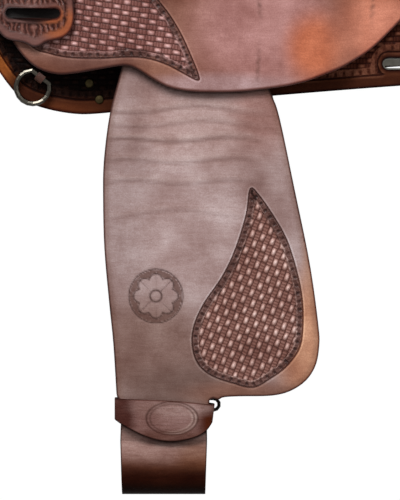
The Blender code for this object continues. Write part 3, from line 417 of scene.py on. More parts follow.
def tooledLeather(name, roughness=0.44, grain=1.0, shine=0.28):
    # Carved, stamped and oiled vegetable-tanned cowhide: cuts dark from stain and painted shade, high parts pale from
    # rubbing and a painted highlight
    made, node, shader = newMaterial(name)
    place = node("TexCoord", {}), 3
    into, along, edge, carve = [(node("Attribute", {"attribute_name": key}), 2)
                                for key in ("into", "along", "edge", "carve")]
    wander = node("TexNoise", {}, Vector=place, Scale=85.0, Detail=1.0)
    waver = basketStamp["waver"]
    stamp = node("SeparateXYZ", {}, node("VectorMath", both[1], (wander, 1), (waver, waver, 0.0),
                                         node("UVMap", {"uv_map": "stampMap"})))
    u, v = [node(*multiply, (stamp, k), 1 / basketStamp[size]) for k, size in enumerate(("length", "width"))]
    square = node(*add, node(*whole, u), node(*whole, v))
    under = node(*multiply, node(*fraction, node(*multiply, square, 0.5)), 2.0)
    awayU, awayV = [node(*positive, node(*both, node(*fraction, way), 2.0, -1.0)) for way in (u, v)]
    crowns = [node(*subtract, 1.0, node(*power, away, basketStamp["crown"])) for away in (awayU, awayV)]
    over = node(*multiply, *crowns)
    ribs = node(*wave, node(*multiply, u, 2 * math.pi * basketStamp["ribs"]))
    flat = node(*subtract, 1.0, node(*power, awayV, 5.0))
    below = node(*multiply, node(*both, ribs, 0.09, 0.29), flat)
    weave = node("Mix", {}, under, None, over, below)
    patchy = node("MapRange", {}, node("TexNoise", {}, Vector=place, Scale=150.0, Detail=2.0), 0.35, 0.65, 0.45, 1.35)
    # a painted highlight on the crowns of the strips on top, mixed with the paleness of rubbing
    rubbedAndHighlit = node(*multiply, node(*multiply, node(*power, over, basketStamp["rubbedAndHighlit"]), patchy),
                  node(*subtract, 1.0, under))
    # masks, from the distance inside the tooled panel
    stamped = node("MapRange", eased, into, *tooling["bandEnd"])
    inside = node("MapRange", eased, into, *tooling["bandStart"])
    line = node("MapRange", eased, node(*positive, node(*subtract, into, 0.25)), 0.25, 0.95, 1.0, 0.0)
    lip = node("MapRange", eased, node(*positive, node(*add, into, 1.3)), 0.2, 1.0, 1.0, 0.0)
    beads = node("TexVoronoi", {}, Vector=place, Scale=430.0)
    taps = [node(*most, node(*wave, node(*multiply, run, turn)), 0.0)
            for run, turn in ((along, 2 * math.pi / tooling["tapPitch"]), (into, math.pi / tooling["tapDepth"]))]
    tapped = node(*both, node(*multiply, *taps), -0.6, node(*both, beads, 0.5, 0.44))
    scroll = node("TexWave", {"wave_type": "BANDS"}, Vector=place, Scale=62.0, Distortion=7.0, Detail=2.0,
                  Detail_Scale=1.6), 1
    blotch = node("TexNoise", {}, Vector=place, Scale=21.0, Detail=4.0, Roughness=0.6)
    pores = node("TexNoise", {}, Vector=place, Scale=900.0, Detail=3.0, Roughness=0.65)
    drawn = node("Mapping", {}, Vector=place, Scale=(1.0, 1.0, 7.0))
    creases = node("TexNoise", {}, Vector=drawn, Scale=60.0, Detail=5.0, Roughness=0.7)
    spans = ((blotch, 0.67, 1.33), (pores, 0.86, 1.14), (creases, 1 - 0.08 * grain, 1 + 0.08 * grain),
             (blotch, roughness - 0.07, roughness + 0.09))
    bright, fine, strained, rough = [node("MapRange", {}, field, noiseLow, noiseHigh, low, high)
                                     for field, low, high in spans]
    # brightness of the hide in each place, from the stamp outwards: stain in the cuts and rubbing on the crowns, with
    # painted shade in the hollows and a painted highlight on the crowns
    shade = node("Mix", {}, stamped, None, node(*both, tapped, 0.9, 0.22),
                 node(*both, rubbedAndHighlit, 0.18, node(*both, weave, 0.80, 0.08)))
    shade = node("Mix", {}, inside, None, 1.0, shade)
    shade = node("Mix", {}, carve, None, shade, node(*both, scroll, 1.15, 0.30))
    # a painted highlight on the raised lip outside the cut line, and the cut line dark from stain and painted shade
    shade = node("Mix", {}, node(*multiply, lip, 0.6), None, shade, 1.5)
    shade = node("Mix", {}, line, None, shade, 0.22)
    shade = node(*multiply, shade, node("MapRange", eased, edge, 0.3, 2.4, 0.16, 1.0))
    shade = node(*multiply, shade, node(*multiply, node(*multiply, bright, fine), strained))
    # the colour goes redder where this brightness is low and paler where it is high, painted shade and painted
    # highlight included
    warm = node("CombineXYZ", {}, shade, node(*power, shade, 1.38), node(*power, shade, 1.5))
    colour = node("VectorMath", multiply[1], node("Attribute", {"attribute_name": "tone"}), warm)
    height = node("Mix", {}, stamped, None, tapped, weave)
    height = node("Mix", {}, inside, None, 1.0, height)
    height = node("Mix", {}, carve, None, height, scroll)
    for field, depth in ((line, -0.8), (pores, 0.10 * grain), (creases, 0.20 * grain)):
        height = node(*both, field, depth, height)
    bump = node("Bump", {}, Strength=0.9, Distance=0.0015, Height=height)
    feed(shader, Base_Color=colour, Normal=bump, Roughness=rough, Specular_IOR_Level=shine)
    return made


def dress(node, shader, weight, tones, height=None, bump=(), invert=False, **named):
    # Two tones mixed by weight, relief from a height, and the shader's other inputs
    mixed = node("Mix", {"data_type": "RGBA"}, weight, *[None] * 5, *[hexColour(code) for code in tones])
    if height is not None:
        named["Normal"] = node("Bump", {"invert": invert}, Strength=bump[0], Distance=bump[1], Height=height)
    feed(shader, Base_Color=(mixed, 2), **named)


def plainLeather(name, colour, worn, roughness=0.5, scale=24.0):
    # The same hide without tooling, mottled between two tones by handling
    made, node, shader = newMaterial(name)
    place = node("TexCoord", {}), 3
    blotch = node("TexNoise", {}, Vector=place, Scale=scale, Detail=5.0, Roughness=0.6)
    pores = node("TexVoronoi", {"feature": "DISTANCE_TO_EDGE"}, Vector=place, Scale=700.0)
    rough = node("MapRange", {}, blotch, noiseLow, noiseHigh, roughness - 0.06, roughness + 0.1)
    dress(node, shader, node("MapRange", {}, blotch, 0.38, 0.62), (colour, worn),
          node("MapRange", {}, pores, 0.0, 0.25), (0.35, 0.0003), Roughness=rough)
    return made


def metal(name, colour, dull, roughness, metallic=1.0):
    # Cast and tumbled, then dulled by handling
    made, node, shader = newMaterial(name)
    smear = node("TexNoise", {}, Vector=(node("TexCoord", {}), 3), Scale=160.0, Detail=4.0)
    rough = node("MapRange", {}, smear, noiseLow, noiseHigh, roughness - 0.06, roughness + 0.08)
    dress(node, shader, smear, (colour, dull), Metallic=metallic, Roughness=rough)
    return made


def sueded(name, colour, worn):
    # Rough-out leather: a short nap that lies one way or the other and catches light at its edges
    made, node, shader = newMaterial(name)
    place = node("TexCoord", {}), 3
    nap = node("TexNoise", {}, Vector=place, Scale=420.0, Detail=4.0, Roughness=0.7)
    broad = node("TexNoise", {}, Vector=place, Scale=26.0, Detail=3.0)
    dress(node, shader, node("MapRange", {}, broad, 0.4, 0.6), (colour, worn), nap, (0.5, 0.0006),
          Roughness=0.95, Sheen_Weight=0.5)
    return made


def woolly(name, colour, deep):
    # Shorn wool pile in tufts of about 6 mm, darker between them
    made, node, shader = newMaterial(name)
    place = node("TexCoord", {}), 3
    tuft = node("TexVoronoi", {}, Vector=place, Scale=160.0)
    fibre = node("TexNoise", {}, Vector=place, Scale=600.0, Detail=5.0, Roughness=0.7)
    hollow = node(*both, tuft, 0.8, node(*multiply, fibre, 0.5))
    dress(node, shader, node("MapRange", {}, hollow, 0.25, 0.95), (colour, deep), hollow, (1.0, 0.003), True,
          Roughness=1.0, Sheen_Weight=0.6)
    return made


def rawhideOver(name, colour, dark):
    # Rawhide laced wet over a pine tree and dried, with the wood's grain under it
    made, node, shader = newMaterial(name)
    stretch = node("Mapping", {}, Vector=(node("TexCoord", {}), 3), Scale=(1.0, 12.0, 12.0))
    figure = node("TexNoise", {}, Vector=stretch, Scale=30.0, Detail=6.0)
    dress(node, shader, figure, (colour, dark), figure, (0.3, 0.0005), Roughness=0.55)
    return made


tooled = tooledLeather("carved and oiled skirting leather")
darkTooled = tooledLeather("dark oiled skirting leather", roughness=0.6, shine=0.05)
strapLeather = tooledLeather("oiled stirrup leather", roughness=0.5, grain=2.4, shine=0.035)
plain = plainLeather("oiled smooth leather", "#7b4c3a", "#8e5d49")
darkPlain = plainLeather("dark latigo leather", "#3d1d14", "#57301f", 0.45)
lining = plainLeather("brown lining leather", "#5d4030", "#74543f", 0.7)
steel = metal("satin stainless steel", "#aaa79d", "#7d7a70", 0.30)
nickel = metal("dulled nickel plate", "#6f6a60", "#3f3b35", 0.3)
brass = metal("dull brass", "#5f5236", "#3c3422", 0.42)
blackSteel = metal("black japanned steel", "#16130f", "#241e19", 0.38, 0.6)
suede = sueded("rough-out suede", "#4b2c20", "#5d392a")
wool = woolly("shorn wool pile", "#f0e7d4", "#cdbc9c")
thread = plainLeather("waxed linen thread", "#b9a07c", "#9c8460", 0.7, 200.0)
rawhide = rawhideOver("stained rawhide over pine", "#684a36", "#4d3427")
print("materials made")


# Tones of the hide, with painted sheen and painted shade on some pieces, laid on as soft patches

def patched(points, ground, patches):
    # Each patch is (x, z, reach in x, reach in z, colour, strength), in millimetres
    tone = np.tile(hexColour(ground), (len(points), 1))
    x, z = points[:, [0, 2]].T / mm
    for px, pz, rx, rz, code, strength in patches:
        tone = mixTone(tone, (code, smooth(1.5 - np.hypot((x - px) / rx, (z - pz) / rz)) * strength))
    return tone


def mixTone(tone, *coats):
    # Each coat is (colour, weight at each point)
    for code, weight in coats:
        weight = np.clip(weight, 0, 1)[:, None]
        tone = tone * (1 - weight) + np.array(hexColour(code)) * weight
    return tone


def softLine(value, middle, width):
    # A soft line: 1 at the middle and nothing a few widths away
    return np.exp(-((value - middle) / width) ** 2)


def stampedPanel(place, outline, tone, ground, band, depth, regain):
    # Depth inside a panel, the way along its outline, its tones, and the relief of its sunk band, of which the stamped
    # middle regains a share
    bandIn, bandOut = tooling["bandEnd"]
    away, along = nearest(place, outline)
    into = np.where(insideOf(place, outline), away, -away)
    tone = mixTone(tone, (ground, smooth(into / 1.5)), (band, smooth(into) * smooth(bandOut - into)))
    return into, along, tone, -depth * mm * (smooth((into + 0.2) / 1.2) - regain * smooth(into - bandIn))


# The seat jockey's outline, which the fender's shadow follows too

jockey = {
    "edge": [(-300.0, -100.0), (-300.0, -130.0), (-292.0, -152.0), (-276.3, -175.5), (-262.8, -187.2),
             (-245.7, -192.2), (-228.2, -191.1), (-205.2, -187.2), (-184.5, -184.2), (-172.8, -187.7),
             (-159.3, -196.2), (-142.2, -204.3), (-117.0, -207.9), (-82.5, -207.5), (-48.2, -203.8), (-25.2, -199.2),
             (-7.2, -192.9), (11.7, -185.4), (32.4, -173.3), (45.9, -161.8), (63.0, -144.6), (85.0, -121.0),
             (108.0, -95.0), (128.0, -68.0)],
    "panel": [(-268.2, -167.4), (-253.3, -173.7), (-233.1, -177.3), (-205.2, -177.9), (-182.2, -176.8),
              (-164.7, -177.9), (-147.6, -183.1), (-133.2, -190.5), (-119.7, -197.6), (-117.9, -194.0),
              (-125.1, -175.5), (-134.1, -155.7), (-144.4, -138.6), (-154.8, -125.1), (-166.0, -108.0),
              (-185.0, -88.0), (-215.0, -78.0), (-250.0, -78.0), (-278.0, -92.0), (-286.0, -118.0), (-281.0, -145.0)],
    "seam": [0.110, 0.060, 0.0, -0.070, -0.130, -0.149, -0.156, -0.163, -0.170, -0.22],
}


# Fender

fender = {
    "pivot": (-0.1298, -0.150), "strapRadius": 0.038,
    "left": [(-180.0, -158.0), (-187.7, -188.7), (-197.7, -227.5), (-203.2, -270.0), (-203.9, -305.1),
             (-202.8, -349.2), (-198.5, -398.3), (-194.9, -434.3), (-192.0, -481.5)],
    "right": [(-100.2, -485.1), (-95.9, -482.8), (-81.5, -481.9), (-52.8, -481.3), (-35.6, -477.0), (-21.2, -467.1),
              (-12.6, -452.7), (-9.7, -434.3), (-10.4, -419.9), (-14.8, -385.2), (-20.7, -350.1), (-32.0, -296.1),
              (-45.6, -231.8), (-53.6, -208.8), (-72.0, -164.0), (-98.0, -156.0)],
    "neck": [(-189.5, -485.5), (-189.5, -503.0), (-108.5, -503.0), (-108.5, -485.5), (-105.5, -483.5)],
    "panel": [(-72.0, -295.2), (-75.6, -318.6), (-85.5, -350.1), (-97.2, -374.4), (-113.4, -398.2), (-122.4, -418.5),
              (-123.9, -436.1), (-118.8, -452.7), (-106.2, -463.5), (-87.3, -470.2), (-69.3, -474.0),
              (-54.0, -466.2), (-39.1, -455.0), (-27.6, -438.7), (-24.5, -419.4), (-25.2, -394.2), (-30.2, -369.0),
              (-39.1, -341.1), (-51.7, -318.6), (-64.3, -300.6)],
    "rosette": (-156.6, -391.5, 26.0), "stampTurn": 68.0,
    "creases": [(-224.0, 1.0), (-237.0, 0.7), (-251.0, 1.4), (-270.0, 0.9), (-289.0, 0.8), (-317.0, 0.5)],
}


def fenderOutline():
    px, pz = fender["pivot"]
    angles = np.radians(np.arange(180, -1, -10))
    shoulder = np.stack([px + fender["strapRadius"] * np.cos(angles), pz + fender["strapRadius"] * np.sin(angles)],
                        axis=1)
    left = curveThrough(fender["left"], 4) * mm
    right = curveThrough(fender["right"], 4) * mm
    neck = np.array(fender["neck"]) * mm
    return np.vstack([left, neck, right, shoulder[::-1]])


def rosetteMarks(x, z):
    # A plain eight-petalled flower in two rings, as a saddler stamps to fill a round
    cx, cz, size = fender["rosette"]
    r = np.hypot(x - cx, z - cz) / size
    angle = np.arctan2(z - cz, x - cx)
    petal = 0.62 + 0.16 * np.abs(np.cos(angle * 4))
    line = softLine(r, petal, 0.035) + softLine(r, 0.20, 0.035)
    vein = softLine(np.sin(angle * 4), 0.0, 0.10) * (r > 0.24) * (r < petal)
    ring = softLine(r, 0.93, 0.025)
    ground = (r > petal + 0.04) * (r < 0.89) * 1.0
    return np.clip(line + 0.6 * vein + ring, 0, 1) * (r < 1.02), ground


def paintFender(flat, outer):
    place = flat / mm
    x, z = place.T
    deep = depthIn(place, fenderOutline() / mm)
    flower, ground = rosetteMarks(x, z)
    # the pale mauve patches high and in the middle are painted sheen, the darker ones low down are painted shade; the
    # orange at the rear rim is the hide's own tone
    tone = patched(outer, "#a08480", [
        (-120, -235, 70, 42, "#b3948f", 0.9), (-185, -300, 26, 90, "#a38a87", 0.8),
        (-120, -330, 50, 60, "#b29794", 0.8), (-165, -440, 60, 45, "#83645b", 0.9),
        (-120, -480, 70, 26, "#71564e", 0.9), (-60, -220, 28, 40, "#93665d", 0.8),
        (-10, -340, 12, 120, "#cf9b80", 0.8), (-18, -440, 26, 60, "#c99172", 0.95),
        (-75, -480, 50, 12, "#7d4f3e", 0.7)])
    panel = closedCurve(fender["panel"], 5)
    into, along, tone, sunk = stampedPanel(place, panel, tone, "#dfbbb2", "#68463f", 0.35, 0.7)
    # painted shadow in a thin dark line just under the jockey's edge and painted shade fading below it; then the
    # rosette's tooled ground and flower lines
    under = distanceTo(place, curveThrough(jockey["edge"], 5), False)
    tone = mixTone(tone, ("#150805", smooth(1.5 - under / 2.0)), ("#5d3c34", smooth(1.3 - under / 7.0) * 0.5),
                   ("#5f3f37", ground * 0.8), ("#3a1d15", flower * 0.9))
    relief = np.zeros(len(x))
    for level, size in fender["creases"]:
        bow = level - 0.0006 * (x + 130) ** 2 + 2.5 * np.sin(x / 17 + level)
        fade = smooth((-60 - x) / 60 + 0.3) * smooth((x + 205) / 12)
        line = softLine(z, bow, 1.6) * fade * size
        swell = softLine(z, bow + 5, 5.0) * fade * size
        relief += (swell * 0.35 - line * 0.45) * mm
        # painted shade in each crease and a painted highlight on the swell just above it
        tone = mixTone(tone, ("#6b4a42", line * 0.42),
                       ("#c2a6a0", softLine(z, bow + 4, 2.4) * fade * size * 0.35))
    relief += (0.7 * np.sin(z / 38 + x / 90) + 0.5 * np.sin(x / 31 - z / 70)) * mm * smooth(deep / 25)
    relief += sunk
    relief -= (0.35 * flower + 0.2 * ground) * mm
    tone = mixTone(tone, ("#6f4a3a", smooth(1.6 - deep / 4.5) * 0.4))
    return hideMarks(tone, along, deep, into), relief


def makeFender(side):
    panel = closedCurve(fender["panel"], 5) * mm
    cx, cz, size = np.array(fender["rosette"]) * mm
    ring = np.arange(-size, size, 1.1 * mm)
    fine = [(cx + a, cz + b) for a in ring for b in ring if math.hypot(a, b) < size * 1.05]
    makeSheet("fender", side, tooled, paintFender, fenderOutline(), 2.5, 2.4, upright, layers["fender"],
              layers["fenderTop"], lines=[evenly(np.vstack([panel, panel[:1]]), 1.6 * mm, False)], extra=fine,
              turn=fender["stampTurn"], body="fender_" + side)


for side in sides:
    makeFender(side)
print("fenders made")


# The latigo keeper's outline, which the jockey's shadow follows too

keeper = {
    "centre": (-0.2685, -0.1200), "slot": (0.0017, -0.0176, 0.0493, 0.0089), "thick": 0.004, "seat": 0.0010,
    "bow": 0.0020, "bowStart": 60.0, "bowRun": 7.0,
    "outline": [(38.6, -5.2), (39.0, -21.0), (36.3, -31.5), (29.7, -38.5), (19.2, -41.8), (13.3, -43.5), (7.3, -47.2),
                (1.2, -47.7), (-6.1, -44.2), (-21.0, -41.0), (-28.5, -34.7), (-35.7, -24.0), (-39.3, -10.0),
                (-39.3, 9.0), (-33.0, 28.0), (-19.5, 41.5), (3.0, 47.5), (21.0, 41.5), (34.5, 27.0), (38.2, 10.0)],
}


# Seat jockey

def seamAngle(x):
    angle = 19.0 + 8.0 * smooth((x + 0.05) / 0.16)
    return angle + 12.0 * smooth((-0.150 - x) / 0.020)


def jockeyOutline():
    lower = layerAngle(curveThrough(jockey["edge"], 5) * mm, jockeyTop)
    rear = jockey["edge"][-1][0] * mm
    top = [(rear + 0.004, 37.0)] + [(x, float(seamAngle(x)) + 0.7) for x in [rear] + jockey["seam"]]
    top += [(-0.262, 27.0), (-0.278, 22.0), (-0.280, 12.0), (-0.292, 9.0), (-0.303, 14.0), (-0.304, 40.0)]
    return closedBy(lower, top)


def paintJockey(flat, outer):
    place = outer[:, [0, 2]] / mm
    x, z = place.T
    deep = distanceTo(flat, jockeyOutline()) / mm
    # the pale pink patches are painted sheen and the brightest orange patch is the hide's orange-brown with a painted
    # highlight; the rest are the hide's own tones
    tone = patched(outer, "#8d5d4c", [
        (-60, -150, 60, 60, "#b37f7a", 0.9), (-100, -202, 60, 10, "#b08f8f", 0.8), (-14, -168, 24, 28, "#c06a48", 0.95),
        (40, -150, 40, 40, "#b86c53", 0.8), (-225, -186, 60, 9, "#6b3b28", 1.0), (-215, -140, 60, 45, "#7d5a53", 0.8),
        (30, -40, 90, 60, "#8e5d49", 0.7), (-60, -60, 80, 40, "#936455", 0.7)])
    panel = closedCurve(jockey["panel"], 4)
    into, along, tone, relief = stampedPanel(place, panel, tone, "#cfa09c", "#5c3a33", 0.3, 0.6)
    hidden = depthIn(place, closedCurve(keeper["outline"], 4) + np.array(keeper["centre"]) / mm)
    for cx, cz, lean, run in ((-65.0, -185.0, 0.05, 16.0), (-64.0, -130.0, -0.1, 12.0), (38.0, -132.0, 0.1, 12.0)):
        off = (x - cx) - lean * (z - cz)
        fade = softLine(z, cz, run)
        tone = mixTone(tone, ("#5d382c", softLine(off, 0.0, 1.3) * fade * 0.7))
        relief -= 0.6 * mm * softLine(off, 0.0, 2.2) * fade
    relief += (0.5 * np.sin(x / 26 + z / 60) + 0.4 * np.sin(z / 21)) * mm * smooth(deep / 25) * smooth(1 - into / 3)
    # painted shadow on the jockey under the keeper, which shows through its slot
    tone = mixTone(tone, ("#120805", smooth((hidden - 4.0) / 2.0)))
    into = np.where(hidden > 4.0, -20.0, into)
    return hideMarks(tone, along, deep, into), relief


for side in sides:
    panelLine = layerAngle(evenly(closedCurve(jockey["panel"], 4), 2.0) * mm, jockeyTop)
    makeSheet("seat_jockey", side, tooled, paintJockey, jockeyOutline(), 3.0, 3.2, draped, underJockey, jockeyTop,
              lines=[np.vstack([panelLine, panelLine[:1]])], turn=-8.0, mapUpright=True)
print("seat jockeys made")


# Skirt and fleece

skirt = {
    "front": -0.340, "rear": 0.362,
    "edge": [(-334, -95), (-324, -140), (-309, -172), (-286, -206), (-267, -220), (-234, -228), (-202, -227.7),
             (-130, -219), (-53, -212.3), (9, -207.2), (63, -203.1), (150, -197), (230, -187), (296, -168),
             (340, -132), (358, -90)],
    "slots": [(-0.142, -0.190), (0.077, -0.1835)], "slotLength": 0.060, "slotHeight": 0.0105,
    "windowLength": 0.095, "windowHeight": 0.039, "band": 8.5,
}


def skirtOutline(inset=0.0):
    front, rear = skirt["front"], skirt["rear"]
    edge = curveThrough([(front, -0.030)] + [(x * mm, z * mm) for x, z in skirt["edge"]] + [(rear, -0.030)], 5)
    middle, half = (front + rear) / 2, (rear - front) / 2
    x = middle + (edge[:, 0] - middle) * (1 - inset / half)
    z = edge[:, 1] + inset * np.minimum(1.0, -edge[:, 1] / 0.1)
    lower = layerAngle(np.stack([x, z], axis=1), layers["skirtTop"])
    ends = [(rear - 0.010 - inset, 6.0), (rear - 0.026 - inset, 2.0), (front + 0.024 + inset, 2.0),
            (front + 0.008 + inset, 6.0)]
    return closedBy(lower, ends)


def slotLoop(x, z, length, height, steps=8):
    radius, made = height / 2, []
    for centre, start in ((length / 2 - radius, -90.0), (radius - length / 2, 90.0)):
        for k in range(steps + 1):
            angle = math.radians(start + 180.0 * k / steps)
            made.append((x + centre + radius * math.cos(angle), z + radius * math.sin(angle)))
    return made


def skirtSlots(length, height, layer):
    return [layerAngle(slotLoop(x, z, skirt[length], skirt[height]), layers[layer]) for x, z in skirt["slots"]]


def paintSkirt(flat, outer):
    deep, along = (value / mm for value in nearest(flat, skirtOutline()))
    # the skirt's ground is dark leather darkened further as painted shade, for it lies under the jockey; the orange
    # front edge and the lighter rear are the hide's own tones
    tone = patched(outer, "#3a190c", [(-296, -176, 14, 26, "#8a4a20", 0.9), (-250, -228, 44, 9, "#5c2d17", 0.8),
                                      (280, -110, 80, 70, "#6b3c2a", 0.7)])
    slot = np.full(len(flat), 99.0)
    for loop in skirtSlots("slotLength", "slotHeight", "skirtTop"):
        slot = np.minimum(slot, distanceTo(flat, loop) / mm)
    into = np.minimum(deep - skirt["band"], slot - 4.5)
    # the tooled front lies under the jockey's front lobe and takes a painted shadow there
    ahead = smooth((-110 - outer[:, 0] / mm) / 60)
    tone = mixTone(tone, ("#663d2d", smooth(into / 1.5) * (1 - ahead)), ("#1d0d08", smooth(into / 1.5) * ahead))
    return hideMarks(tone, along, np.minimum(deep, slot), into), deep * 0.0


def paintWool(flat, outer):
    return {}, np.zeros(len(flat))


for side in sides:
    slots = skirtSlots("slotLength", "slotHeight", "skirtTop")
    makeSheet("skirt", side, darkTooled, paintSkirt, skirtOutline(), 3.5, 4.0, draped, layers["skirt"],
              layers["skirtTop"], slots, mapUpright=True)
    windows = skirtSlots("windowLength", "windowHeight", "fleece")
    tuft = np.random.default_rng(4)

    def woolLow(x, t, tuft=tuft):
        lump = np.sin(x * 610 + 2 * np.sin(t * 1.9)) * np.sin(t * 3.1 + 2 * np.sin(x * 470))
        return 0.0011 - 0.0010 * lump + tuft.normal(0, 0.0003, len(x))

    makeSheet("fleece", side, wool, paintWool, skirtOutline(0.004), 4.0, 4.2, draped, woolLow, layers["fleece"],
              windows, bevel=0.0, ending="_pile_")
print("skirts and fleeces made")


# Rear jockey

rearJockey = {"edge": [(150, -48), (168, -82), (205, -104), (250, -104), (290, -82), (316, -46)]}


def rearOutline():
    lower = layerAngle(curveThrough(rearJockey["edge"], 6) * mm, rearTop)
    top = [(0.328, 10.0), (0.322, 3.0), (0.166, 3.0), (0.166, 10.0), (0.169, 18.0), (0.173, 26.0), (0.160, 30.0),
           (0.150, 34.0)]
    return closedBy(lower, top)


def paintRear(flat, outer):
    deep, along = (value / mm for value in nearest(flat, rearOutline()))
    tone = patched(outer, "#7a4e3f", [(240, -60, 60, 40, "#8c5a47", 0.8)])
    return hideMarks(tone, along, deep, deep - 8.0), deep * 0.0


for side in sides:
    makeSheet("rear_jockey", side, tooled, paintRear, rearOutline(), 3.0, 3.2, draped, overTree, rearTop,
              mapUpright=True)
print("rear jockeys made")


# Latigo keeper

def keeperLoop():
    cx, cz = keeper["centre"]
    return layerAngle(closedCurve(keeper["outline"], 4) * mm + (cx, cz), keeperTop)


def keeperSlot():
    cx, cz = keeper["centre"]
    u, v, length, height = keeper["slot"]
    return layerAngle(slotLoop(cx + u, cz + v, length, height), keeperTop)


def paintKeeper(flat, outer):
    deep, slot = distanceTo(flat, keeperLoop()) / mm, distanceTo(flat, keeperSlot()) / mm
    field = smooth((deep - 6.5) / 0.8) * smooth((slot - 3.5) / 0.8)
    tone = patched(outer, "#6f4740", [(-240, -148, 18, 14, "#a65a34", 0.9), (-285, -110, 30, 40, "#603c37", 0.7)])
    tone = mixTone(tone, ("#5f352c", field * 0.9),
                   ("#2d140d", (softLine(deep, 6.2, 0.6) + softLine(slot, 3.2, 0.6)) * 0.7))
    return hideMarks(tone, deep, np.minimum(deep, slot), carve=field), -0.3 * mm * field


for side in sides:
    makeSheet("latigo_keeper", side, tooled, paintKeeper, keeperLoop(), 1.8, 1.5, draped,
              lambda x, t: keeperTop(x, t) - keeper["thick"], keeperTop, [keeperSlot()])
print("keepers made")


# Hobble strap and stirrup leather

hobble = {
    "left": -0.1938, "right": -0.1038, "thick": 0.0028, "corner": 0.0012, "slant": 2.0,
    "oval": (-142.1, -501.5, 23.1, 14.9), "rows": 41, "frontSteps": 110, "backSteps": 30,
    "top": [(-194.0, -483.9), (-143.0, -485.8), (-103.5, -489.5)],
    "bottom": [(-194.0, -502.6), (-189.0, -506.0), (-180.0, -511.3), (-168.0, -517.2),
               (-156.0, -521.0), (-143.6, -522.5), (-131.0, -521.3), (-120.0, -518.2),
               (-111.0, -513.6), (-107.2, -510.4), (-103.5, -505.0)],
}


def makeHobble(side):
    h = hobble
    front, back = layers["fenderTop"] + layers["gap"], layers["backPly"] - layers["gap"]
    left, right, corner = h["left"] + h["thick"], h["right"] - h["thick"], h["corner"]
    path = [(left + corner + (right - left - 2 * corner) * k / h["frontSteps"], front)
            for k in range(h["frontSteps"] + 1)]
    path += [(right - corner * 0.3, front - corner * 0.3), (right, front - corner), (right, back + corner),
             (right - corner * 0.3, back + corner * 0.3)]
    path += [(right - corner + (left - right + 2 * corner) * k / h["backSteps"], back)
             for k in range(h["backSteps"] + 1)]
    path += [(left + corner * 0.3, back + corner * 0.3), (left, back + corner), (left, front - corner),
             (left + corner * 0.3, front - corner * 0.3)]
    p = np.array(path)
    ahead = unit(np.roll(p, -1, axis=0) - np.roll(p, 1, axis=0))
    out = p + np.stack([-ahead[:, 1], ahead[:, 0]], axis=1) * h["thick"]
    upper, lower = curveThrough(h["top"], 8), curveThrough(h["bottom"], 8)
    rows = h["rows"]
    points, edge = [], []
    for (x, y), (ox, oy) in zip(p, out):
        top, bottom = np.interp(ox / mm, *upper.T) * mm, np.interp(ox / mm, *lower.T) * mm
        lean = -h["slant"] * mm * float(smooth((ox - right + 0.012) / 0.012))
        for k in np.r_[np.arange(rows), rows - 1, 0]:
            share = k / (rows - 1)
            inner = len(points) % (rows + 2) >= rows
            points.append(((x if inner else ox) + lean * share, -(y if inner else oy), top + (bottom - top) * share))
            edge.append(min(share, 1 - share) * (top - bottom) / mm)
    points, edge = np.array(points), np.array(edge)
    x, z = points[:, [0, 2]].T / mm
    cx, cz, rx, rz = h["oval"]
    r = np.hypot((x - cx) / rx, (z - cz) / rz)
    outside = points[:, 1] < -front
    highlitSide = smooth((x - cx - (z - cz)) / 20.0)
    tone = patched(points, "#84615b", [(-188, -500, 12, 24, "#46231d", 0.95), (-102, -500, 17, 44, "#43190a", 1.0),
                                       (-140, -492, 34, 8, "#94746d", 0.7), (-145, -518, 40, 6, "#5d3a31", 0.8)])
    # the stamped ovals: a dark line in each groove and a painted highlight on the lower right of each rim only
    for size, weight in ((1.0, 0.75), (0.86, 0.5)):
        tone = mixTone(tone, ("#3d2019", softLine(r, size, 0.045) * outside * weight),
                       ("#b89a8f", softLine(r, size - 0.07, 0.04) * outside * 0.45 * highlitSide))
    # painted shade along the lower edge, which faces down
    tone = mixTone(tone, ("#1a0b06", smooth(1.2 - edge / 1.2) * (z < cz)))
    points[:, 1] *= sides[side]
    addPiece("hobble_strap_leather_" + side, points, tubeFaces(len(p), rows + 2, True), strapLeather, "fender_" + side,
             ["hobble_strap_" + side], points[:, [0, 2]], hideMarks(tone, x, edge + 0.8), 0.0005)


strap = {"half": [(-0.5706, 0.0374), (-0.523, 0.0391), (-0.490, 0.0380)], "ply": 0.0036, "foldRadius": 0.015,
         "foldBottom": -0.5711, "bottomX": -0.1497, "straight": -0.505, "swell": -0.5230, "columns": 41}


def strapCentre(z):
    px, pz = fender["pivot"]
    u = np.clip((pz - z) / (pz - strap["straight"]), 0, 1)
    return px + (strap["bottomX"] - px) * u


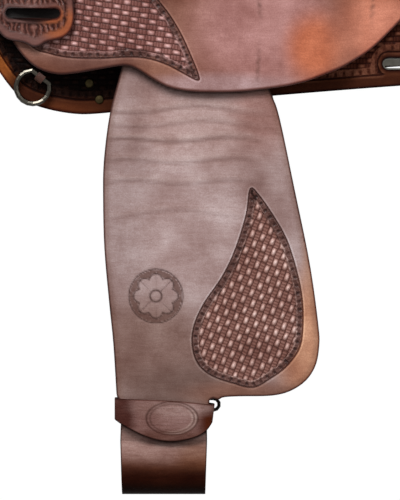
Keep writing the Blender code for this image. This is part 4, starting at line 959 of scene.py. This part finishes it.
def makeStrap(side):
    ply, half = strap["ply"], strap["half"][-1][1]
    front, back = layers["frontPly"] + ply / 2, layers["backPly"] + ply / 2
    middle, fold = (front + back) / 2, strap["foldRadius"] + ply / 2
    foldZ = strap["foldBottom"] + ply / 2 + fold
    pz = fender["pivot"][1]
    path = [(front, z) for z in np.r_[np.linspace(pz - 0.005, -0.500, 20), np.linspace(-0.5012, strap["swell"], 34)]]
    bend = [(middle + fold * math.cos(a), foldZ - fold * math.sin(a)) for a in np.radians(np.linspace(-20, 200, 61))]
    path += [(front + (bend[0][0] - front) * k / 16, strap["swell"] + (bend[0][1] - strap["swell"]) * k / 16)
             for k in range(1, 16)]
    path += bend
    path += [(back, z) for z in np.linspace(strap["swell"], pz - 0.005, 12)]
    across = np.sin(np.radians(np.linspace(-90, 90, strap["columns"])))
    rows = []
    top = pz + half * np.sqrt(np.maximum(1 - across ** 2, 0))
    for y, z in [(front, None)] + path + [(back, None)]:
        level = top if z is None else np.full(len(across), z)
        wide = np.interp(level, *np.array(strap["half"]).T)
        rows.append(np.stack([strapCentre(level) + across * wide, np.full(len(across), -y), level], axis=1))
    grid = np.array(rows)
    ahead = np.gradient(grid[:, len(across) // 2], axis=0)
    normal = unit(np.stack([np.zeros(len(grid)), -ahead[:, 2], ahead[:, 1]], axis=1))
    normal *= -np.sign(normal[0, 1])
    normal[:20] = (0, -1, 0)
    normal[-8:] = (0, 1, 0)
    outer, inner = grid + normal[:, None] * ply / 2, grid - normal[:, None] * ply / 2
    points, faces = slab(outer, inner)
    x, z = points[:, [0, 2]].T / mm
    # a painted highlight on the swell below the hobble, where the strap faces the light
    tone = patched(points, "#572f1e", [(-150, -522, 80, 17, "#987870", 1.0), (-120, -537, 18, 14, "#6b4026", 0.6)])
    below = np.interp(x, *curveThrough(hobble["bottom"], 8).T) - z
    aside = np.abs(np.tile(across, 2 * len(grid)))
    # painted shade towards the fold at the bottom, a painted shadow just under the hobble's lower edge, and darker side
    # edges
    tone = mixTone(tone, ("#2c0f06", smooth((-537 - z) / 17)), ("#180803", smooth((-556 - z) / 11)),
                   ("#1c0d08", smooth(1.0 - below / 3.2) * (points[:, 1] < -layers["frontPly"])),
                   ("#331910", smooth((aside - 0.965) / 0.03)))
    points[:, 1] *= sides[side]
    addPiece("stirrup_leather_strap_" + side, points, faces, strapLeather, "fender_" + side,
             ["stirrup_leather_" + side], points[:, [0, 2]],
             hideMarks(tone, 0.0, (1 - aside) * half / mm + 1.0), 0.0005)


for side in sides:
    makeHobble(side)
    makeStrap(side)
print("straps made")


# Solids that keep their shape and take a finish

finishes = {"tree_bar": rawhide, "front_rigging_plate": steel, "rear_rigging_plate": steel, "keeper_screw": steel,
            "breast_dee": nickel, "dee_chape": darkPlain, "skirt_rivet": brass, "concho": steel, "strap_hanger": plain,
            "hobble_buckle": blackSteel, "leather_buckle": steel, "buckle_sleeve": steel, "fork_cover": plain,
            "fork": rawhide, "gullet_lining": lining, "horn_cap_cover": plain, "horn_wrap": darkPlain, "horn": steel,
            "ground_seat": lining, "cantle_board": rawhide, "rear_lacing": darkPlain}
for name, node in nodes.items():
    start = max((key for key in finishes if name.startswith(key)), key=len, default=None)
    if start:
        node.data.materials.clear()
        node.data.materials.append(finishes[start])
for name, step, rounds in (("fork_cover", 0.0022, 26), ("horn_cap_cover", 0.0013, 8), ("strap_hanger_left", 0.0016, 6),
                           ("strap_hanger_right", 0.0016, 6)):
    # Wet-formed leather has no corners
    formed = nodes[name].modifiers.new("formed wet", "REMESH")
    formed.mode, formed.voxel_size, formed.use_smooth_shade = "VOXEL", step, True
    softened = nodes[name].modifiers.new("eased", "SMOOTH")
    softened.factor, softened.iterations = 0.5, rounds
print("finishes set")


# Seat and cantle, on the model's own rows but finer

seatShape = {"rows": [(-0.166, 0.092), (-0.130, 0.075), (-0.070, 0.062), (0.0, 0.058), (0.060, 0.062), (0.110, 0.071)],
             "fall": 2.2, "base": (0.168, 0.040, 0.118, 0.030, 0.092), "rim": (0.170, 0.070, 0.160, 0.052, 0.195),
             "levels": (0.0, 0.30, 0.65, 1.0), "columns": 161, "steps": 10}
padShape = {"edge": 0.002, "crown": 0.0095, "channels": 6, "channelWidth": 0.0035, "channelDepth": 0.62}
bindingShape = {"middle": -0.0075, "wide": 0.0132, "high": 0.0068, "lift": 0.0052}


def seatGrid():
    share = np.linspace(-1, 1, seatShape["columns"])
    rows = []
    for x, top in seatShape["rows"]:
        edge = drape(x, seamAngle(max(x, -0.149)), layers["seat"])
        low = top - layers["leather"]
        rows.append(np.stack([np.full(len(share), x), abs(edge[1]) * share,
                              low + (edge[2] - low) * np.abs(share) ** seatShape["fall"]], axis=1))
    c, q = np.cos(np.radians(90 * share)), np.sin(np.radians(90 * share))
    x, reach, half, low, top = seatShape["base"]
    base = np.stack([x - 0.035 + reach * c, half * q + 0.030 * share * (1 - c), low + (top - low) * c ** 1.6], axis=1)
    x, reach, half, low, top = seatShape["rim"]
    crest = np.stack([x - 0.020 + reach * c, half * q, low + (top - low) * c ** 0.9], axis=1)
    return curveThrough(rows + [base * (1 - v) + crest * v for v in seatShape["levels"]], seatShape["steps"])


def gridNormals(grid):
    normals = unit(np.cross(np.gradient(grid, axis=0), np.gradient(grid, axis=1)))
    return normals * np.sign(normals @ np.array([-0.05, 0.0, 1.0]))[..., None]


def gridPiece(name, grid, normals, low, high, finish, replaced, tone, bevel=0.0008):
    # A slab between two offsets of a grid, with the marks that the tooled leather reads
    n, m = grid.shape[:2]
    top = grid + normals * np.broadcast_to(high, (n, m))[..., None]
    under = grid + normals * np.broadcast_to(low, (n, m))[..., None]
    points, faces = slab(top, under)
    down = np.cumsum(np.r_[np.zeros((1, m)), np.linalg.norm(np.diff(grid, axis=0), axis=2)], axis=0)
    along = np.cumsum(np.c_[np.zeros(n), np.linalg.norm(np.diff(grid, axis=1), axis=2)], axis=1)
    edge = np.minimum(np.minimum(along, along[:, -1:] - along), np.minimum(down, down[-1:] - down)).ravel() / mm
    uv = np.tile(np.stack([(along - along[:, -1:] / 2).ravel(), down.ravel()], axis=1), (2, 1))
    marks = hideMarks(patched(points, *tone), np.tile(along.ravel() / mm, 2), np.tile(edge, 2) + 0.6,
                      np.repeat([-20.0, -99.0], n * m))
    return addPiece(name, points, faces, finish, "saddle", replaced, uv, marks, bevel)


# Sizes in millimetres, then how wide and how high each ring of a stitch lies, in thread radii
stitch = {"pitch": 3.6, "length": 2.5, "thick": 0.42, "at": (0.0, 0.15, 0.5, 0.85, 1.0),
          "wide": (0.35, 0.9, 1.0, 0.9, 0.35), "lift": (-0.2, 0.15, 0.35, 0.15, -0.2)}


def stitchRows(lines):
    # Waxed thread, one short raised stitch after another, as points and faces
    points, faces = [], []
    pitch, thick = stitch["pitch"] * mm, stitch["thick"]
    for path, normals in lines:
        run = runOf(path)
        for start in np.arange(0.0, run[-1] - pitch, pitch):
            at = start + np.array(stitch["at"]) * stitch["length"] * mm
            middle = np.stack([np.interp(at, run, path[:, k]) for k in range(3)], axis=1)
            up = np.array([np.interp(start, run, normals[:, k]) for k in range(3)])
            ahead = middle[-1] - middle[0]
            side = unit(np.cross(ahead, up))
            first = len(points)
            for place, size, lift in zip(middle, stitch["wide"], stitch["lift"]):
                for a in np.radians(range(0, 360, 60)):
                    points.append(place + (side * math.cos(a) * size + up * (math.sin(a) * size + lift)) * thick * mm)
            faces += [tuple(first + i for i in f) for f in tubeFaces(5, 6) + [range(5, -1, -1), range(24, 30)]]
    return points, faces


seatRows = seatGrid()
seatUp = gridNormals(seatRows)
steps, flatRows = seatShape["steps"], len(seatShape["rows"])
gridPiece("seat_leather", seatRows, seatUp, 0.0, layers["leather"], tooled, ["seat"],
          ("#7d4f3f", [(-150, 95, 30, 40, "#6a4033", 0.7), (120, 80, 60, 60, "#8a5a48", 0.7)]))

inset = 3 * (seatShape["columns"] - 1) // 16
padded = slice(steps, steps * (flatRows + 2) + 1), slice(inset, -inset)
padRows, padUp = seatRows[padded], seatUp[padded]
n, m = padRows.shape[:2]
lift = np.sin(np.linspace(0.0, 1.0, n) * math.pi)[:, None] * np.sin(np.linspace(0.0, 1.0, m) * math.pi)[None, :]
rowLine = np.linspace(0, padShape["channels"], n)[:, None] + 0.18 * np.cos(np.linspace(-2.2, 2.2, m))[None, :]
pitch = np.linalg.norm(np.diff(padRows[:, m // 2], axis=0), axis=1).sum() / padShape["channels"]
fromLine = np.abs(rowLine - np.round(rowLine)) * pitch
groove = softLine(fromLine, 0.0, padShape["channelWidth"]) * padShape["channelDepth"] * smooth(lift * 4)
crown = padShape["edge"] + padShape["crown"] * np.maximum(lift, 0) ** 0.45 * (1 - groove)
bed = layers["leather"] + layers["gap"]
quilt = gridPiece("suede_seat_pad", padRows, padUp, bed, bed + crown, suede, ["seat_pad"], ("#4b2c20", []),
                  bevel=0.0)

backStart = steps * (flatRows + 1)
gridPiece("cantle_back_leather", seatRows[backStart:], seatUp[backStart:], -0.020, -0.016, tooled, ["cantle_back"],
          ("#6f4535", []))

crest, away = seatRows[-1], seatUp[-1]
rise = crest - seatRows[-1 - steps]
rise = unit(rise - away * np.sum(rise * away, axis=1, keepdims=True))
rounds = np.radians(np.arange(0, 360, 15))
b = bindingShape
ripple = 1 + 0.02 * np.sin(np.arange(len(crest)) * 1.7)[:, None]
wide, high = b["wide"] * np.cos(rounds) * ripple, b["high"] * np.sin(rounds) * ripple
tube = (crest + away * b["middle"] + rise * b["lift"])[:, None, :]
tube = tube + away[:, None, :] * wide[..., None] + rise[:, None, :] * high[..., None]
n, m = tube.shape[:2]
ends = [tuple(range(m - 1, -1, -1)), tuple(range(n * m - m, n * m))]
addPiece("cantle_binding_leather", tube.reshape(-1, 3), tubeFaces(n, m) + ends, darkPlain, "saddle",
         ["cantle_binding"], bevel=0.0)

threads = []
top = padRows + padUp * (bed + crown)[..., None]
for k in range(1, padShape["channels"]):
    columns = np.arange(6, top.shape[1] - 6)
    rows = np.array([np.interp(k, rowLine[:, j], np.arange(len(rowLine))) for j in columns])
    row, rest = rows.astype(int), (rows % 1)[:, None]
    path = top[row, columns] * (1 - rest) + top[np.minimum(row + 1, len(top) - 1), columns] * rest
    threads.append((path + padUp[row, columns] * 0.0003, padUp[row, columns]))
flats = slice(steps * (flatRows - 1))
for sewn in ((flats, 4), (flats, -5), -1 - steps // 2):
    threads.append((seatRows[sewn] + seatUp[sewn] * layers["leather"], seatUp[sewn]))
points, faces = stitchRows(threads)
addPiece("waxed_thread_stitching", points, faces, thread, "saddle", bevel=0.0)
print("seat, pad and cantle made")


# Floor, light and camera

studio = {"floor": -1.25, "level": 0.40, "floorGlow": 1.1}
# Each is where it stands, where it points, its size and its strength
softboxes = {"key softbox": ((-1.1, -2.4, 2.3), (-0.1, -0.1, -0.2), 1.5, 102.0),
             "fill softbox": ((2.4, -1.8, 1.2), (0.0, 0.0, -0.1), 1.6, 22.0),
             "rear softbox": ((0.3, 2.6, 1.9), (0.0, 0.0, 0.0), 2.0, 62.0)}
floorMesh = bpy.data.meshes.new("floor")
floorMesh.from_pydata([(x, y, studio["floor"]) for x, y in ((-40, -40), (40, -40), (40, 40), (-40, 40))], [],
                      [(0, 1, 2, 3)])
floor = newObject("floor", floorMesh)
paper, node, shader = newMaterial("white paper floor")
feed(shader, Base_Color=hexColour("#a8a8a8"), Roughness=0.9)
light = node("LightPath", {})
seen = node(*most, (light, 0), (light, 6))
glow = node("Emission", {}, (1, 1, 1, 1), studio["floorGlow"])
feed(paper.node_tree.nodes["Material Output"], node("MixShader", {}, node(*multiply, seen, 0.9), shader, glow))
floorMesh.materials.append(paper)

world = bpy.data.worlds.new("studio")
bpy.context.scene.world = world
world.use_nodes = True
sky = world.node_tree
level = addNode(sky, "MapRange", {}, addNode(sky, "LightPath", {}), 0.0, 1.0, studio["level"], 1.0)
feed(sky.nodes["Background"], (1, 1, 1, 1), level)


def aimFrom(thing, place, aim):
    thing.location = place
    thing.rotation_euler = (aim - place).to_track_quat("-Z", "Y").to_euler()


for name, (place, aim, size, strength) in softboxes.items():
    data = bpy.data.lights.new(name, "AREA")
    data.shape, data.size, data.size_y, data.energy = "RECTANGLE", size, size, strength
    lamp = newObject(name, data)
    aimFrom(lamp, Vector(place), Vector(aim))
    lamp.visible_camera = False

shot = {"aim": Vector((-0.117, -0.245, -0.350)), "distance": 5.0, "elevation": 4.0, "lens": 401.2}
cameraData = bpy.data.cameras.new("camera")
cameraData.lens, cameraData.sensor_width, cameraData.sensor_fit = shot["lens"], 36.0, "AUTO"
camera = newObject("camera", cameraData)
up = math.radians(shot["elevation"])
aimFrom(camera, shot["aim"] + Vector((0.0, -math.cos(up), math.sin(up))) * shot["distance"], shot["aim"])
bpy.context.scene.camera = camera
bpy.context.scene.view_settings.view_transform = "Standard"
print("studio set")
